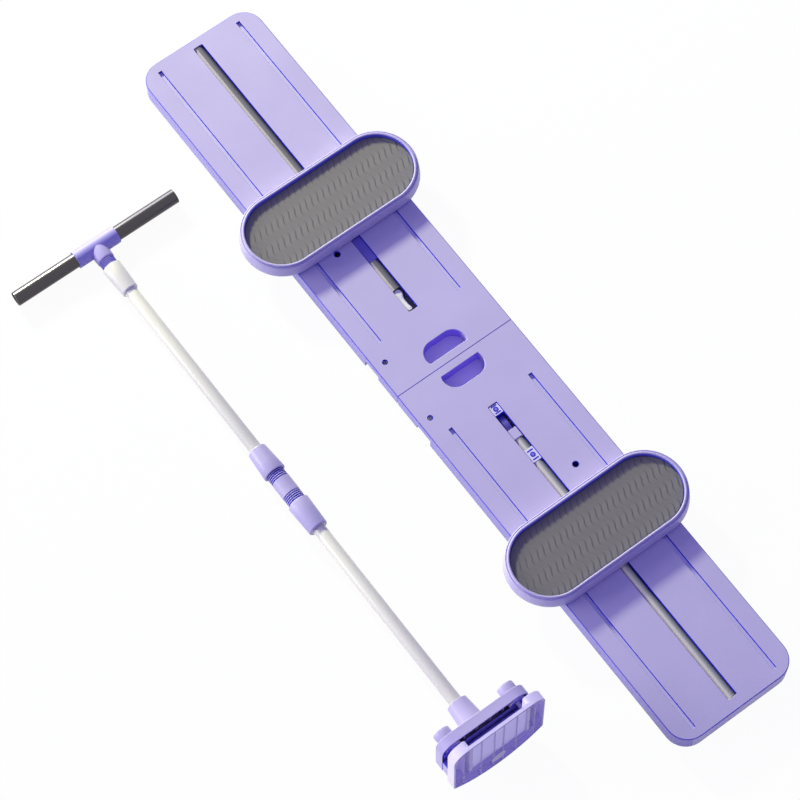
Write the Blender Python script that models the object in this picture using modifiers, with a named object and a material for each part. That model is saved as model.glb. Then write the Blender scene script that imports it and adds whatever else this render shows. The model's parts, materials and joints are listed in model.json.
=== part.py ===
"""Portable pilates reformer: a folding sliding board with two wheeled foot plates, and its push-up pole.

Metres, +Z up. Half B lies towards +X, half A towards -X, and the taken-off pole lies beside the board,
towards -Y. Places are measured from the floor under the middle of the board's seam; at the end everything
moves along Y, so that the origin is on the floor under the middle of the whole object.
"""

import math

import bmesh
import bpy
from mathutils import Matrix

# Clearances
FIT_GAP = 0.0003
RUN_GAP = 0.0001

# Board shell
HALF_LENGTH = 0.636
BOARD_WIDTH = 0.200
SHELL_HEIGHT = 0.031
FOOT_HEIGHT = 0.003
DECK_THICKNESS = 0.004
WALL = 0.003
CORNER_RADIUS = 0.032
BASE_THICKNESS = 0.0025
POST_RADIUS = 0.004
POST_FROM_EDGE = 0.012
POST_PLACES = (0.100, 0.350, 0.596)

# Foot strips under the board
STRIP_WIDTH = 0.014
STRIP_LENGTH = 0.150
STRIP_INNER_X = 0.105
STRIP_FROM_END = 0.045

# Wheel grooves in the deck
GROOVE_Y = 0.0697
GROOVE_WIDTH = 0.006
GROOVE_DEPTH = 0.004
GROOVE_START = 0.082
GROOVE_FROM_END = 0.015
CHANNEL_WALL = 0.003

# Centre slot and guide rod
SLOT_WIDTH = 0.0150
SLOT_Y = -0.0013
SLOT_FROM_END = {"a": 0.0135, "b": 0.0175}
SLOT_START = {"a": 0.0945, "b": 0.0880}
SLOT_CORNER = 0.0015
ROD_RADIUS = 0.008
ROD_NECK_RADIUS = 0.004
ROD_BELOW_DECK = 0.0012
ROD_FROM_END = 0.0045
SUPPORT_HALF_WIDTH = 0.0125
HOLDER_FROM_SLOT = 0.0008
SADDLE_BELOW_DECK = 0.0008
SADDLE_HOLE_RADIUS = 0.0025
SADDLE_HOLE_DEPTH = 0.0022

# Pieces seen in the slot, measured outwards from the seam
STOP_SPAN = (0.190, 0.234)
STOP_BELOW_DECK = 0.0015
CLIP_SPAN = (0.098, 0.135)
CLIP_BELOW_DECK = 0.0045
CLIP_HALF_WIDTH = 0.0050
CLIP_Y = -0.0030
SADDLE_INNER_SPAN = (0.0895, 0.105)
SADDLE_MID_SPAN = (0.170, 0.192)
BRIDGE_SPAN = (0.133, 0.149)
BRIDGE_SIDE_GAP = 0.0014
TONGUE_HALF_WIDTH = 0.0045
TONGUE_BELOW_DECK = 0.006
TONGUE_END_DROP = 0.005

# Carrying grip recessed on both sides of the seam
GRIP_FLAT_X = 0.0122
GRIP_DEPTH_X = 0.0285
GRIP_HALF_LENGTH = 0.032
GRIP_CORNER_RADIUS = 0.0205
GRIP_CENTRE_Y = -0.001
GRIP_DEPTH = 0.0215
GRIP_WALL = 0.002

# Holes through the deck
PEG_X = 0.0527
PEG_Y = -0.0825
PEG_HOLE_RADIUS = 0.0035
LOCATING_X = 0.228
LOCATING_Y = 0.037
LOCATING_RADIUS = 0.0042

# Fold hinge: two links, each on two pins
PIN_HEIGHT = 0.013
FOLDED_GAP = 0.0006
PIN_RADIUS = 0.0016
LINK_RADIUS = 0.0035
LINK_WIDTH = 0.008
LINK_Y = {"left": -0.045, "right": 0.085}
LINK_SIDE_GAP = 0.0005
LUG_THICKNESS = 0.004
LUG_LENGTH = 0.019
SEAM_GAP = 0.0003

# Clamp of the pole, in the pole's own frame: X along the pole, origin on its axis
CLAMP_WIDTH = 0.149
CLAMP_X = 0.903
CLAMP_PLATE = 0.015
CLAMP_PLATE_WIDTH = 0.143
CLAMP_SLOT = 0.015
CLAMP_RIB_PLATE = 0.0155
CLAMP_MIDDLE = 0.0056
CLAMP_SHOULDER_Z = -0.003
CLAMP_BOW = 0.027
CLAMP_WEB = 0.033
WEB_INSET = 0.0008
CLAMP_PLATE_HEIGHT = 0.0815
CLAMP_RIB_HEIGHT = 0.122
CLAMP_CORNER = 0.022
CLAMP_WALL = 0.003
HORN_WIDTH = 0.0275
HORN_CORNER = 0.005
PANEL_DEPTH = 0.002
RIB_DEPTH = 0.011
RIB_THICKNESS = 0.0018
RIB_PLACES = (-0.058, -0.029, -0.0075, 0.0075, 0.029, 0.058)
RIB_LEVELS = (0.008, 0.029)
PLATE_RIB_PLACES = (-0.032, -0.011, 0.011, 0.032)
PLATE_RIB_DROP = 0.003
BOSS_RADIUS = 0.0125
PEG_HEIGHT = 0.059
PEG_FROM_WALL = 0.0175
HORN_PLAY = 0.0015

# Pole sections, as places along the pole from the tee's centre
TUBE_RADIUS = 0.0095
TUBE_WALL = 0.0012
THREAD_PITCH = 0.0031
TEE_THREAD = (0.0108, 0.0120)
JOINT_THREAD = (0.0127, 0.0138)
TEE_RADIUS = 0.0135
TEE_LENGTH = 0.070
TEE_NECK_RADII = (0.0125, 0.0116)
TEE_NECK_SHOWN = 0.0136
TEE_THREAD_SHOWN = 0.0124
TEE_NECK_IN_NUT = 0.031
TEE_SCREW_Y = 0.025
TEE_SCREW_RADIUS = 0.0021
TEE_SCREW_ANGLE = math.radians(-35)
BAR_RADIUS = 0.011
BAR_WALL = 0.0012
BAR_LENGTH = 0.276
CAP_DEPTH = 0.012
CAP_RECESS = 0.001
TEE_NUT_LENGTH = 0.048
TEE_NUT_RADII = (0.01445, 0.01275)
BARREL_X = 0.46495
BARREL_LENGTH = 0.0261
BARREL_RADIUS = 0.014
JOINT_THREAD_SHOWN = {"collar": 0.0131, "cone": 0.0151}
COLLAR_NUT_LENGTH = 0.0438
COLLAR_NUT_RADII = (0.0170, 0.0142)
CONE_NUT_LENGTH = 0.0483
CONE_NUT_RADII = (0.0163, 0.0146)
NUT_LIP = 0.016
TUBE_STOP = 0.0045
SOCKET_LENGTH = 0.048
SOCKET_RADII = (0.0155, 0.0200)
KNOB_RADIUS = 0.0125
KNOB_LENGTH = 0.0145
KNOB_STEM_RADIUS = 0.004
PEG_RADIUS = 0.0031
POLE_X = -0.4515
POLE_Y = -0.3015

# Foot plates
PLATE_X = {"a": -0.296, "b": 0.322}
PLATE_STRAIGHT = 0.0829
PLATE_INNER_RADIUS = 0.0539
RIM_WIDTH = 0.0071
TRAY_FLARE = 0.002
TRAY_ABOVE_DECK = 0.0012
RIM_ABOVE_DECK = 0.024
TRAY_WALL = 0.003
TRAY_FLOOR = 0.0017
PAD_THICKNESS = 0.0047
PAD_SIDE_GAP = 0.0004
WHEEL_RADIUS = 0.007
WHEEL_WIDTH = 0.005
WHEEL_X = 0.038
WHEEL_SIDE_ROOM = 0.0011
AXLE_RADIUS = 0.0015
CHASSIS_ABOVE_DECK = 0.0006
CHASSIS_SIDE_GAP = 0.0009
CHASSIS_TOP = 0.0025
AXLE_RIB = 0.006
CHASSIS_POCKET = (0.010, 0.062)
CARRIAGE_HALF_LENGTH = 0.045
CARRIAGE_HALF_WIDTH = 0.012
CARRIAGE_BELOW_ROD = 0.003
NECK_SIDE_GAP = 0.0004

# Facets of round pieces
ROUND = 32
SMALL_ROUND = 16
CORNER_STEPS = 8
CUT = 0.002

# Heights worked out from the sizes above
SHELL_BOTTOM = FOOT_HEIGHT
DECK_TOP = SHELL_BOTTOM + SHELL_HEIGHT
DECK_UNDER = DECK_TOP - DECK_THICKNESS
BASE_TOP = SHELL_BOTTOM + BASE_THICKNESS
ROD_Z = DECK_TOP - ROD_BELOW_DECK - ROD_RADIUS
GROOVE_FLOOR = DECK_TOP - GROOVE_DEPTH
AXLE_Z = GROOVE_FLOOR + WHEEL_RADIUS + RUN_GAP
PIN_X = PIN_HEIGHT + FOLDED_GAP / 2
SIDES = {"a": -1, "b": 1}

# Places along the pole from the tee's centre, worked out from the sizes above
TEE_THREAD_X = TEE_RADIUS + TEE_NECK_SHOWN
TEE_NUT_X = TEE_THREAD_X + TEE_THREAD_SHOWN
TEE_NUT_SPAN = (TEE_NUT_X, TEE_NUT_X + TEE_NUT_LENGTH)
TEE_NECK_X = TEE_NUT_X + TEE_NECK_IN_NUT
BARREL_SPAN = (BARREL_X - BARREL_LENGTH / 2, BARREL_X + BARREL_LENGTH / 2)
COLLAR_NUT_X = BARREL_SPAN[0] - JOINT_THREAD_SHOWN["collar"]
COLLAR_NUT_SPAN = (COLLAR_NUT_X, COLLAR_NUT_X - COLLAR_NUT_LENGTH)
CONE_NUT_X = BARREL_SPAN[1] + JOINT_THREAD_SHOWN["cone"]
CONE_NUT_SPAN = (CONE_NUT_X, CONE_NUT_X + CONE_NUT_LENGTH)
SOCKET_X = CLAMP_X - SOCKET_LENGTH

# From the board's seam to the middle of the whole object, whose ends are the crossbar's and the plates' rims
TRAY_REACH = PLATE_STRAIGHT + PLATE_INNER_RADIUS + RIM_WIDTH + TRAY_FLARE
MIDDLE_Y = (POLE_Y - BAR_LENGTH / 2 + TRAY_REACH) / 2

# The horns reach this far in from the left wall once the pegs stand in their holes
WALL_Y = -BOARD_WIDTH / 2
WEB_STAND_OFF = PEG_HEIGHT - PEG_FROM_WALL
HORN_REACH = CLAMP_RIB_HEIGHT - WEB_STAND_OFF
HORN_OUTER = CLAMP_WIDTH / 2 + HORN_PLAY
HORN_INNER = CLAMP_WIDTH / 2 - HORN_WIDTH - HORN_PLAY
HORN_TOP = DECK_TOP - CLAMP_SLOT
MIDDLE_TOP = HORN_TOP - CLAMP_RIB_PLATE + CLAMP_MIDDLE + FIT_GAP


def clear_scene():
    for old in list(bpy.data.objects):
        bpy.data.objects.remove(old, do_unlink=True)


def add_collection(name):
    collection = bpy.data.collections.new(name)
    bpy.context.scene.collection.children.link(collection)
    return collection


def add_material(name, colour, roughness, metallic=0.0):
    material = bpy.data.materials.new(name)
    material.use_nodes = True
    shader = material.node_tree.nodes["Principled BSDF"]
    shader.inputs["Base Color"].default_value = (*colour, 1.0)
    shader.inputs["Roughness"].default_value = roughness
    shader.inputs["Metallic"].default_value = metallic
    material.diffuse_color = (*colour, 1.0)
    return material


clear_scene()
PARTS = add_collection("portable_pilates_reformer")
CUTTERS = add_collection("cutters")
CUTTERS.hide_render = True

LILAC = add_material("lilac_plastic", (0.50, 0.44, 0.78), 0.45)
DARK_LILAC = add_material("dark_lilac_plastic", (0.30, 0.25, 0.62), 0.50)
WHITE = add_material("white_plastic", (0.86, 0.86, 0.86), 0.40)
GREY_FOAM = add_material("grey_foam", (0.25, 0.25, 0.26), 0.90)
RUBBER = add_material("black_rubber", (0.03, 0.03, 0.03), 0.85)
STEEL = add_material("polished_steel", (0.60, 0.60, 0.60), 0.22, 1.0)
GUNMETAL = add_material("gunmetal_chrome", (0.28, 0.28, 0.30), 0.18, 1.0)
WHITE_METAL = add_material("white_painted_steel", (0.84, 0.84, 0.82), 0.35)


def add_empty(name, location, tilt=0.0):
    """An empty that carries the pieces that move together; tilt turns it about Y."""
    empty = bpy.data.objects.new(name, None)
    empty.empty_display_size = 0.02
    empty.location = location
    empty.rotation_euler = (0.0, tilt, 0.0)
    PARTS.objects.link(empty)
    bpy.context.view_layer.update()
    return empty


def add_piece(name, mesh, material=None):
    """A piece of the object when it has a material, and otherwise a cutter."""
    piece = bpy.data.objects.new(name, mesh)
    if material is None:
        CUTTERS.objects.link(piece)
        piece.hide_render = True
        piece.display_type = "WIRE"
        return piece
    mesh.materials.clear()
    mesh.materials.append(material)
    PARTS.objects.link(piece)
    return piece


def finish_mesh(shape, name):
    bmesh.ops.recalc_face_normals(shape, faces=shape.faces)
    mesh = bpy.data.meshes.new(name)
    shape.to_mesh(mesh)
    shape.free()
    return mesh


def box(name, low, high, material=None):
    """A box between two opposite corners, which may be given in any order."""
    low, high = [min(pair) for pair in zip(low, high)], [max(pair) for pair in zip(low, high)]
    shape = bmesh.new()
    bmesh.ops.create_cube(shape, size=1.0)
    size = [b - a for a, b in zip(low, high)]
    bmesh.ops.scale(shape, vec=size, verts=shape.verts)
    piece = add_piece(name, finish_mesh(shape, name), material)
    piece.location = [(a + b) / 2 for a, b in zip(low, high)]
    return piece


def cylinder(name, axis, centre, radius, length, material=None, segments=ROUND):
    """A cylinder about its centre; its origin is on its axis."""
    shape = bmesh.new()
    bmesh.ops.create_cone(
        shape, cap_ends=True, segments=segments, radius1=radius, radius2=radius, depth=length
    )
    turn = {
        "X": Matrix.Rotation(math.pi / 2, 3, "Y"),
        "Y": Matrix.Rotation(math.pi / 2, 3, "X"),
        "Z": Matrix.Identity(3),
    }[axis]
    bmesh.ops.rotate(shape, matrix=turn, verts=shape.verts)
    mesh = finish_mesh(shape, name)
    mesh.shade_smooth()
    mesh.set_sharp_from_angle(angle=math.radians(40))
    piece = add_piece(name, mesh, material)
    piece.location = centre
    return piece


def slab(name, outline, low, high, material=None, along="Z"):
    """A flat outline extruded from low to high, along Z, or along X or Y for an upright outline."""
    curve = bpy.data.curves.new(name, "CURVE")
    curve.dimensions = "2D"
    curve.fill_mode = "BOTH"
    curve.extrude = (high - low) / 2
    spline = curve.splines.new("POLY")
    spline.points.add(len(outline) - 1)
    for point, (across, up) in zip(spline.points, outline):
        point.co = (across, up, 0.0, 1.0)
    spline.use_cyclic_u = True
    flat = bpy.data.objects.new(name, curve)
    CUTTERS.objects.link(flat)
    middle = (low + high) / 2
    flat.matrix_basis = {
        "Z": Matrix.Translation((0.0, 0.0, middle)),
        "X": Matrix.Translation((middle, 0.0, 0.0)) @ Matrix(((0, 0, 1, 0), (1, 0, 0, 0), (0, 1, 0, 0), (0, 0, 0, 1))),
        "Y": Matrix.Translation((0.0, middle, 0.0)) @ Matrix(((1, 0, 0, 0), (0, 0, -1, 0), (0, 1, 0, 0), (0, 0, 0, 1))),
    }[along]
    bpy.context.view_layer.update()
    solid = flat.evaluated_get(bpy.context.evaluated_depsgraph_get())
    mesh = bpy.data.meshes.new_from_object(solid)
    place = flat.matrix_world.copy()
    bpy.data.objects.remove(flat, do_unlink=True)
    shape = bmesh.new()
    shape.from_mesh(mesh)
    bmesh.ops.remove_doubles(shape, verts=shape.verts, dist=1e-6)
    bpy.data.meshes.remove(mesh)
    piece = add_piece(name, finish_mesh(shape, name), material)
    piece.matrix_basis = place
    return piece


def turned(name, profile, place, material=None, ring=True, steps=ROUND):
    """A profile of (radius, place along X) turned about the X axis; a ring's profile is closed."""
    shape = bmesh.new()
    points = [shape.verts.new((radius, 0.0, along)) for radius, along in profile]
    for first, second in zip(points, points[1:]):
        shape.edges.new((first, second))
    if ring:
        shape.edges.new((points[-1], points[0]))
    mesh = bpy.data.meshes.new(name)
    shape.to_mesh(mesh)
    shape.free()
    piece = add_piece(name, mesh, material)
    piece.location = place
    piece.rotation_euler = (0.0, math.pi / 2, 0.0)
    screw = piece.modifiers.new("turn", "SCREW")
    screw.axis = "Z"
    screw.steps = steps
    screw.render_steps = steps
    screw.use_merge_vertices = True
    screw.merge_threshold = 1e-5
    screw.use_smooth_shade = False
    return piece


def combine(piece, tool, operation):
    boolean = piece.modifiers.new(operation.lower(), "BOOLEAN")
    boolean.operation = operation
    boolean.solver = "EXACT"
    boolean.object = tool
    return piece


def cut(piece, *tools):
    for tool in tools:
        combine(piece, tool, "DIFFERENCE")
    return piece


def join(piece, *tools):
    for tool in tools:
        combine(piece, tool, "UNION")
    return piece


def carry(empty, *pieces):
    """Hangs pieces that are placed in world space on an empty, where they are."""
    for piece in pieces:
        piece.parent = empty
        piece.matrix_parent_inverse = empty.matrix_world.inverted()


def hang(empty, *pieces):
    """Hangs pieces that are placed in the empty's own frame on it."""
    for piece in pieces:
        piece.parent = empty


def arc(centre, radius, start, stop, steps=CORNER_STEPS):
    """Points on an arc between two angles in degrees."""
    points = []
    for step in range(steps + 1):
        angle = math.radians(start + (stop - start) * step / steps)
        points.append((centre[0] + radius * math.cos(angle), centre[1] + radius * math.sin(angle)))
    return points


def flip(outline, side):
    return [(side * x, y) for x, y in outline]


def fold_room():
    """How far from the seam a bottom edge stays, so that it swings clear of the other half in the fold."""
    drop = PIN_HEIGHT - SHELL_BOTTOM
    return PIN_X - math.sqrt(PIN_X**2 - drop**2) + FIT_GAP


def board_outline(inset, seam_x):
    """Half of the board from above, from the seam to its rounded end."""
    radius = CORNER_RADIUS - inset
    centre_x = HALF_LENGTH - CORNER_RADIUS
    centre_y = BOARD_WIDTH / 2 - CORNER_RADIUS
    return (
        [(seam_x, -BOARD_WIDTH / 2 + inset)]
        + arc((centre_x, -centre_y), radius, -90, 0)
        + arc((centre_x, centre_y), radius, 0, 90)
        + [(seam_x, BOARD_WIDTH / 2 - inset)]
    )


def grip_outline(offset):
    """The grip's half-round opening: flat towards the seam, round towards the board's end."""
    flat_x = GRIP_FLAT_X - offset
    radius = GRIP_CORNER_RADIUS + offset
    centre_x = GRIP_FLAT_X + GRIP_DEPTH_X - GRIP_CORNER_RADIUS
    turn = math.degrees(math.acos((flat_x - centre_x) / radius))
    middle = GRIP_HALF_LENGTH - math.sqrt(GRIP_CORNER_RADIUS**2 - (GRIP_FLAT_X - centre_x) ** 2)
    low = arc((centre_x, GRIP_CENTRE_Y - middle), radius, -turn, 0)
    high = arc((centre_x, GRIP_CENTRE_Y + middle), radius, 0, turn)
    return low + high


def stadium(half_straight, radius):
    """A long outline with round ends, along Y."""
    return arc((0.0, half_straight), radius, 0, 180, 16) + arc((0.0, -half_straight), radius, 180, 360, 16)


def rounded_box(low, high, radius):
    (x0, y0), (x1, y1) = low, high
    steps = 3
    return (
        arc((x1 - radius, y0 + radius), radius, -90, 0, steps)
        + arc((x1 - radius, y1 - radius), radius, 0, 90, steps)
        + arc((x0 + radius, y1 - radius), radius, 90, 180, steps)
        + arc((x0 + radius, y0 + radius), radius, 180, 270, steps)
    )


def pocket_cutter(half, side):
    """The shell's hollow: the inside of the walls, less the grip's cup, groove channels, posts and lugs."""
    name = f"pocket_{half}"
    pocket = slab(name, flip(board_outline(WALL, SEAM_GAP / 2 + WALL), side), SHELL_BOTTOM - CUT, DECK_UNDER)
    cup_bottom = DECK_TOP - GRIP_DEPTH - GRIP_WALL
    cup = slab(f"cup_{half}", flip(grip_outline(GRIP_WALL), side), cup_bottom, DECK_UNDER + CUT)
    cut(pocket, cup)
    for label, y in (("left", -GROOVE_Y), ("right", GROOVE_Y)):
        reach = GROOVE_WIDTH / 2 + CHANNEL_WALL
        channel = box(
            f"channel_{label}_{half}",
            (side * (GROOVE_START - CHANNEL_WALL), y - reach, GROOVE_FLOOR - CHANNEL_WALL),
            (side * (HALF_LENGTH - GROOVE_FROM_END + CHANNEL_WALL), y + reach, DECK_UNDER + CUT),
        )
        cut(pocket, channel)
    for number, x in enumerate(POST_PLACES):
        for label, y in (("left", WALL_Y + POST_FROM_EDGE), ("right", -WALL_Y - POST_FROM_EDGE)):
            height = DECK_UNDER - BASE_TOP - FIT_GAP + CUT
            centre = (side * x, y, BASE_TOP + FIT_GAP + height / 2)
            post = cylinder(f"post_{label}_{number}_{half}", "Z", centre, POST_RADIUS, height, None, SMALL_ROUND)
            cut(pocket, post)
    for label, y in LINK_Y.items():
        for edge, sign in (("near", -1), ("far", 1)):
            start = LINK_WIDTH / 2 + LINK_SIDE_GAP
            lug = box(
                f"lug_{label}_{edge}_{half}",
                (0.0, y + sign * start, SHELL_BOTTOM - 2 * CUT),
                (side * LUG_LENGTH, y + sign * (start + LUG_THICKNESS), DECK_UNDER + CUT),
            )
            cut(pocket, lug)
    return pocket


def seam_chamfer(half, side):
    """Cuts the seam's lower edge back, so that it stays inside the circle that it turns on."""
    drop = PIN_HEIGHT - SHELL_BOTTOM
    slope = fold_room() / drop
    reach = drop + CUT
    outline = [(-CUT, PIN_HEIGHT), (SEAM_GAP / 2, PIN_HEIGHT), (slope * reach, PIN_HEIGHT - reach), (-CUT, PIN_HEIGHT - reach)]
    wide = BOARD_WIDTH / 2 + CUT
    return slab(f"seam_chamfer_{half}", flip(outline, side), -wide, wide, None, "Y")


def make_deck(half, side):
    """The top moulding: deck, walls, grip cup, groove channels, posts and hinge lugs in one."""
    deck = slab(f"deck_{half}", flip(board_outline(0.0, SEAM_GAP / 2), side), SHELL_BOTTOM, DECK_TOP, LILAC)
    grip_floor = DECK_TOP - GRIP_DEPTH
    cut(deck, pocket_cutter(half, side))
    cut(deck, slab(f"grip_{half}", flip(grip_outline(0.0), side), grip_floor, DECK_TOP + CUT))
    for label, y in (("left", -GROOVE_Y), ("right", GROOVE_Y)):
        groove = box(
            f"groove_{label}_{half}",
            (side * GROOVE_START, y - GROOVE_WIDTH / 2, GROOVE_FLOOR),
            (side * (HALF_LENGTH - GROOVE_FROM_END), y + GROOVE_WIDTH / 2, DECK_TOP + CUT),
        )
        cut(deck, groove)
    ends = sorted((side * SLOT_START[half], side * (HALF_LENGTH - SLOT_FROM_END[half])))
    slot = rounded_box((ends[0], SLOT_Y - SLOT_WIDTH / 2), (ends[1], SLOT_Y + SLOT_WIDTH / 2), SLOT_CORNER)
    cut(deck, slab(f"slot_{half}", slot, DECK_UNDER - CUT, DECK_TOP + CUT))
    for name, x, y, radius in (
        ("peg_hole", PEG_X, PEG_Y, PEG_HOLE_RADIUS),
        ("locating_hole", LOCATING_X, side * LOCATING_Y, LOCATING_RADIUS),
    ):
        centre = (side * x, y, DECK_TOP - DECK_THICKNESS / 2)
        cut(deck, cylinder(f"{name}_{half}", "Z", centre, radius, DECK_THICKNESS + 2 * CUT, None, SMALL_ROUND))
    horn = box(
        f"horn_opening_{half}",
        (side * HORN_INNER, WALL_Y - CUT, SHELL_BOTTOM - CUT),
        (side * HORN_OUTER, WALL_Y + WALL + CUT, HORN_TOP),
    )
    middle = box(
        f"middle_relief_{half}",
        (-side * CUT, WALL_Y - CUT, SHELL_BOTTOM - CUT),
        (side * (HORN_INNER + CUT), WALL_Y + HORN_REACH + FIT_GAP, MIDDLE_TOP),
    )
    cut(deck, horn, middle)
    for label, y in LINK_Y.items():
        half_width = LINK_WIDTH / 2 + LINK_SIDE_GAP
        notch = box(
            f"link_notch_{label}_{half}",
            (-side * CUT, y - half_width, SHELL_BOTTOM - CUT),
            (side * (PIN_X + LINK_RADIUS + LINK_SIDE_GAP), y + half_width, PIN_HEIGHT + LINK_RADIUS + LINK_SIDE_GAP),
        )
        length = LINK_WIDTH + 2 * (LINK_SIDE_GAP + LUG_THICKNESS) + CUT
        bore = cylinder(
            f"pin_bore_{label}_{half}", "Y", (side * PIN_X, y, PIN_HEIGHT), PIN_RADIUS + RUN_GAP, length, None, SMALL_ROUND
        )
        cut(deck, notch, bore)
    cut(deck, seam_chamfer(half, side))
    return deck


def make_base(half, side):
    """The bottom cover inside the walls, open where the clamp and the right link pass."""
    inset = WALL + FIT_GAP
    seam_x = max(SEAM_GAP / 2 + inset, fold_room())
    base = slab(f"base_{half}", flip(board_outline(inset, seam_x), side), SHELL_BOTTOM, BASE_TOP, LILAC)
    clamp_way = box(
        f"clamp_way_{half}",
        (-side * CUT, WALL_Y - CUT, SHELL_BOTTOM - CUT),
        (side * (HORN_OUTER + FIT_GAP), WALL_Y + HORN_REACH + 2 * FIT_GAP, BASE_TOP + CUT),
    )
    cut(base, clamp_way)
    for label, y in LINK_Y.items():
        reach = LINK_WIDTH / 2 + LINK_SIDE_GAP + LUG_THICKNESS + FIT_GAP
        way = box(
            f"link_way_{label}_{half}",
            (-side * CUT, y - reach, SHELL_BOTTOM - CUT),
            (side * (LUG_LENGTH + FIT_GAP), y + reach, BASE_TOP + CUT),
        )
        cut(base, way)
    return base


def make_strips(half, side):
    """Rubber strips that the board stands on."""
    strips = []
    for label, x in (("inner", STRIP_INNER_X), ("outer", HALF_LENGTH - STRIP_FROM_END)):
        low = (side * x - STRIP_WIDTH / 2, -STRIP_LENGTH / 2)
        high = (side * x + STRIP_WIDTH / 2, STRIP_LENGTH / 2)
        outline = rounded_box(low, high, STRIP_WIDTH / 3)
        strips.append(slab(f"foot_strip_{label}_{half}", outline, 0.0, SHELL_BOTTOM - FIT_GAP, RUBBER))
    return strips


def make_support(name, side, span, below_deck, material, right_gap=0.0):
    """A block on the base whose neck shows in the slot."""
    inner, outer = span
    low = (side * inner, SLOT_Y - SUPPORT_HALF_WIDTH, BASE_TOP + FIT_GAP)
    block = box(name, low, (side * outer, SLOT_Y + SUPPORT_HALF_WIDTH, DECK_TOP - below_deck), material)
    neck_left = SLOT_Y - SLOT_WIDTH / 2 + NECK_SIDE_GAP
    neck_right = SLOT_Y + SLOT_WIDTH / 2 - max(NECK_SIDE_GAP, right_gap)
    wide = SUPPORT_HALF_WIDTH + CUT
    for label, start, stop in (("left", SLOT_Y - wide, neck_left), ("right", neck_right, SLOT_Y + wide)):
        step = box(
            f"{name}_shoulder_{label}",
            (side * (inner - CUT), start, DECK_UNDER - FIT_GAP),
            (side * (outer + CUT), stop, DECK_TOP + CUT),
        )
        cut(block, step)
    return block


def straddle(block, side, span):
    """Opens a support downwards, so that it sits astride a neck of the guide rod."""
    inner, outer = span
    radius = ROD_NECK_RADIUS + RUN_GAP
    centre = (side * (inner + outer) / 2, SLOT_Y, ROD_Z)
    bore = cylinder(f"{block.name}_bore", "X", centre, radius, outer - inner + 2 * CUT)
    way = box(
        f"{block.name}_way",
        (side * (inner - CUT), SLOT_Y - radius, BASE_TOP - CUT),
        (side * (outer + CUT), SLOT_Y + radius, ROD_Z),
    )
    return cut(block, bore, way)


def make_saddle(name, side, span):
    """A rod saddle held by one screw, whose hole shows in the slot."""
    saddle = make_support(name, side, span, SADDLE_BELOW_DECK, LILAC)
    top = DECK_TOP - SADDLE_BELOW_DECK
    height = SADDLE_HOLE_DEPTH + CUT
    centre = (side * sum(span) / 2, SLOT_Y, top - SADDLE_HOLE_DEPTH + height / 2)
    return cut(saddle, cylinder(f"{name}_screw_hole", "Z", centre, SADDLE_HOLE_RADIUS, height, None, SMALL_ROUND))


def make_rod(half, side, start, necks):
    """The guide rod in the slot, turned down where a support sits astride it and in its end holder."""
    end = HALF_LENGTH - ROD_FROM_END
    slot_end = HALF_LENGTH - SLOT_FROM_END[half] - FIT_GAP
    profile = [(0.0, start), (ROD_RADIUS, start)]
    for inner, outer in necks:
        low, high = inner - FIT_GAP, outer + FIT_GAP
        if low <= start:
            profile[-1] = (ROD_NECK_RADIUS, start)
        else:
            profile += [(ROD_RADIUS, low), (ROD_NECK_RADIUS, low)]
        profile += [(ROD_NECK_RADIUS, high), (ROD_RADIUS, high)]
    profile += [(ROD_RADIUS, slot_end), (ROD_NECK_RADIUS, slot_end), (ROD_NECK_RADIUS, end), (0.0, end)]
    rod = turned(f"guide_rod_{half}", profile[::-1], (0.0, SLOT_Y, ROD_Z), STEEL, False)
    if side < 0:
        rod.rotation_euler = (0.0, -math.pi / 2, 0.0)
    return rod


def make_holder(half, side):
    """Carries the outer end of the guide rod, beyond the slot's end."""
    start = HALF_LENGTH - SLOT_FROM_END[half] + HOLDER_FROM_SLOT
    end = HALF_LENGTH - ROD_FROM_END
    top = DECK_UNDER - FIT_GAP
    holder = box(
        f"rod_holder_outer_{half}",
        (side * start, SLOT_Y - SUPPORT_HALF_WIDTH, BASE_TOP + FIT_GAP),
        (side * end, SLOT_Y + SUPPORT_HALF_WIDTH, top),
        LILAC,
    )
    centre = (side * (start + end) / 2, SLOT_Y, ROD_Z)
    return cut(holder, cylinder(f"holder_bore_{half}", "X", centre, ROD_NECK_RADIUS + RUN_GAP, end - start + 2 * CUT))


def make_clip(side):
    """The white clip in the slot, a round-headed strip before the rod's inner end."""
    inner, outer = CLIP_SPAN
    top = DECK_TOP - CLIP_BELOW_DECK
    outline = (
        [(inner, CLIP_Y - CLIP_HALF_WIDTH)]
        + arc((outer - CLIP_HALF_WIDTH, CLIP_Y), CLIP_HALF_WIDTH, -90, 90)
        + [(inner, CLIP_Y + CLIP_HALF_WIDTH)]
    )
    return slab("rod_clip_a", flip(outline, side), BASE_TOP + FIT_GAP, top, WHITE)


def make_tongue(side):
    """The arched latch tongue between the inner saddle and the bridge."""
    inner = SADDLE_INNER_SPAN[1] + FIT_GAP
    outer = BRIDGE_SPAN[0] - FIT_GAP
    top = DECK_TOP - TONGUE_BELOW_DECK
    bottom = BASE_TOP + FIT_GAP
    outline = [(inner, bottom), (outer, bottom)]
    steps = 10
    for step in range(steps + 1):
        share = step / steps
        x = outer + (inner - outer) * share
        outline.append((x, top - TONGUE_END_DROP * (2 * share - 1) ** 2))
    low, high = SLOT_Y - TONGUE_HALF_WIDTH, SLOT_Y + TONGUE_HALF_WIDTH
    return slab("latch_tongue_b", flip(outline, side), low, high, DARK_LILAC, "Y")


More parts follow.
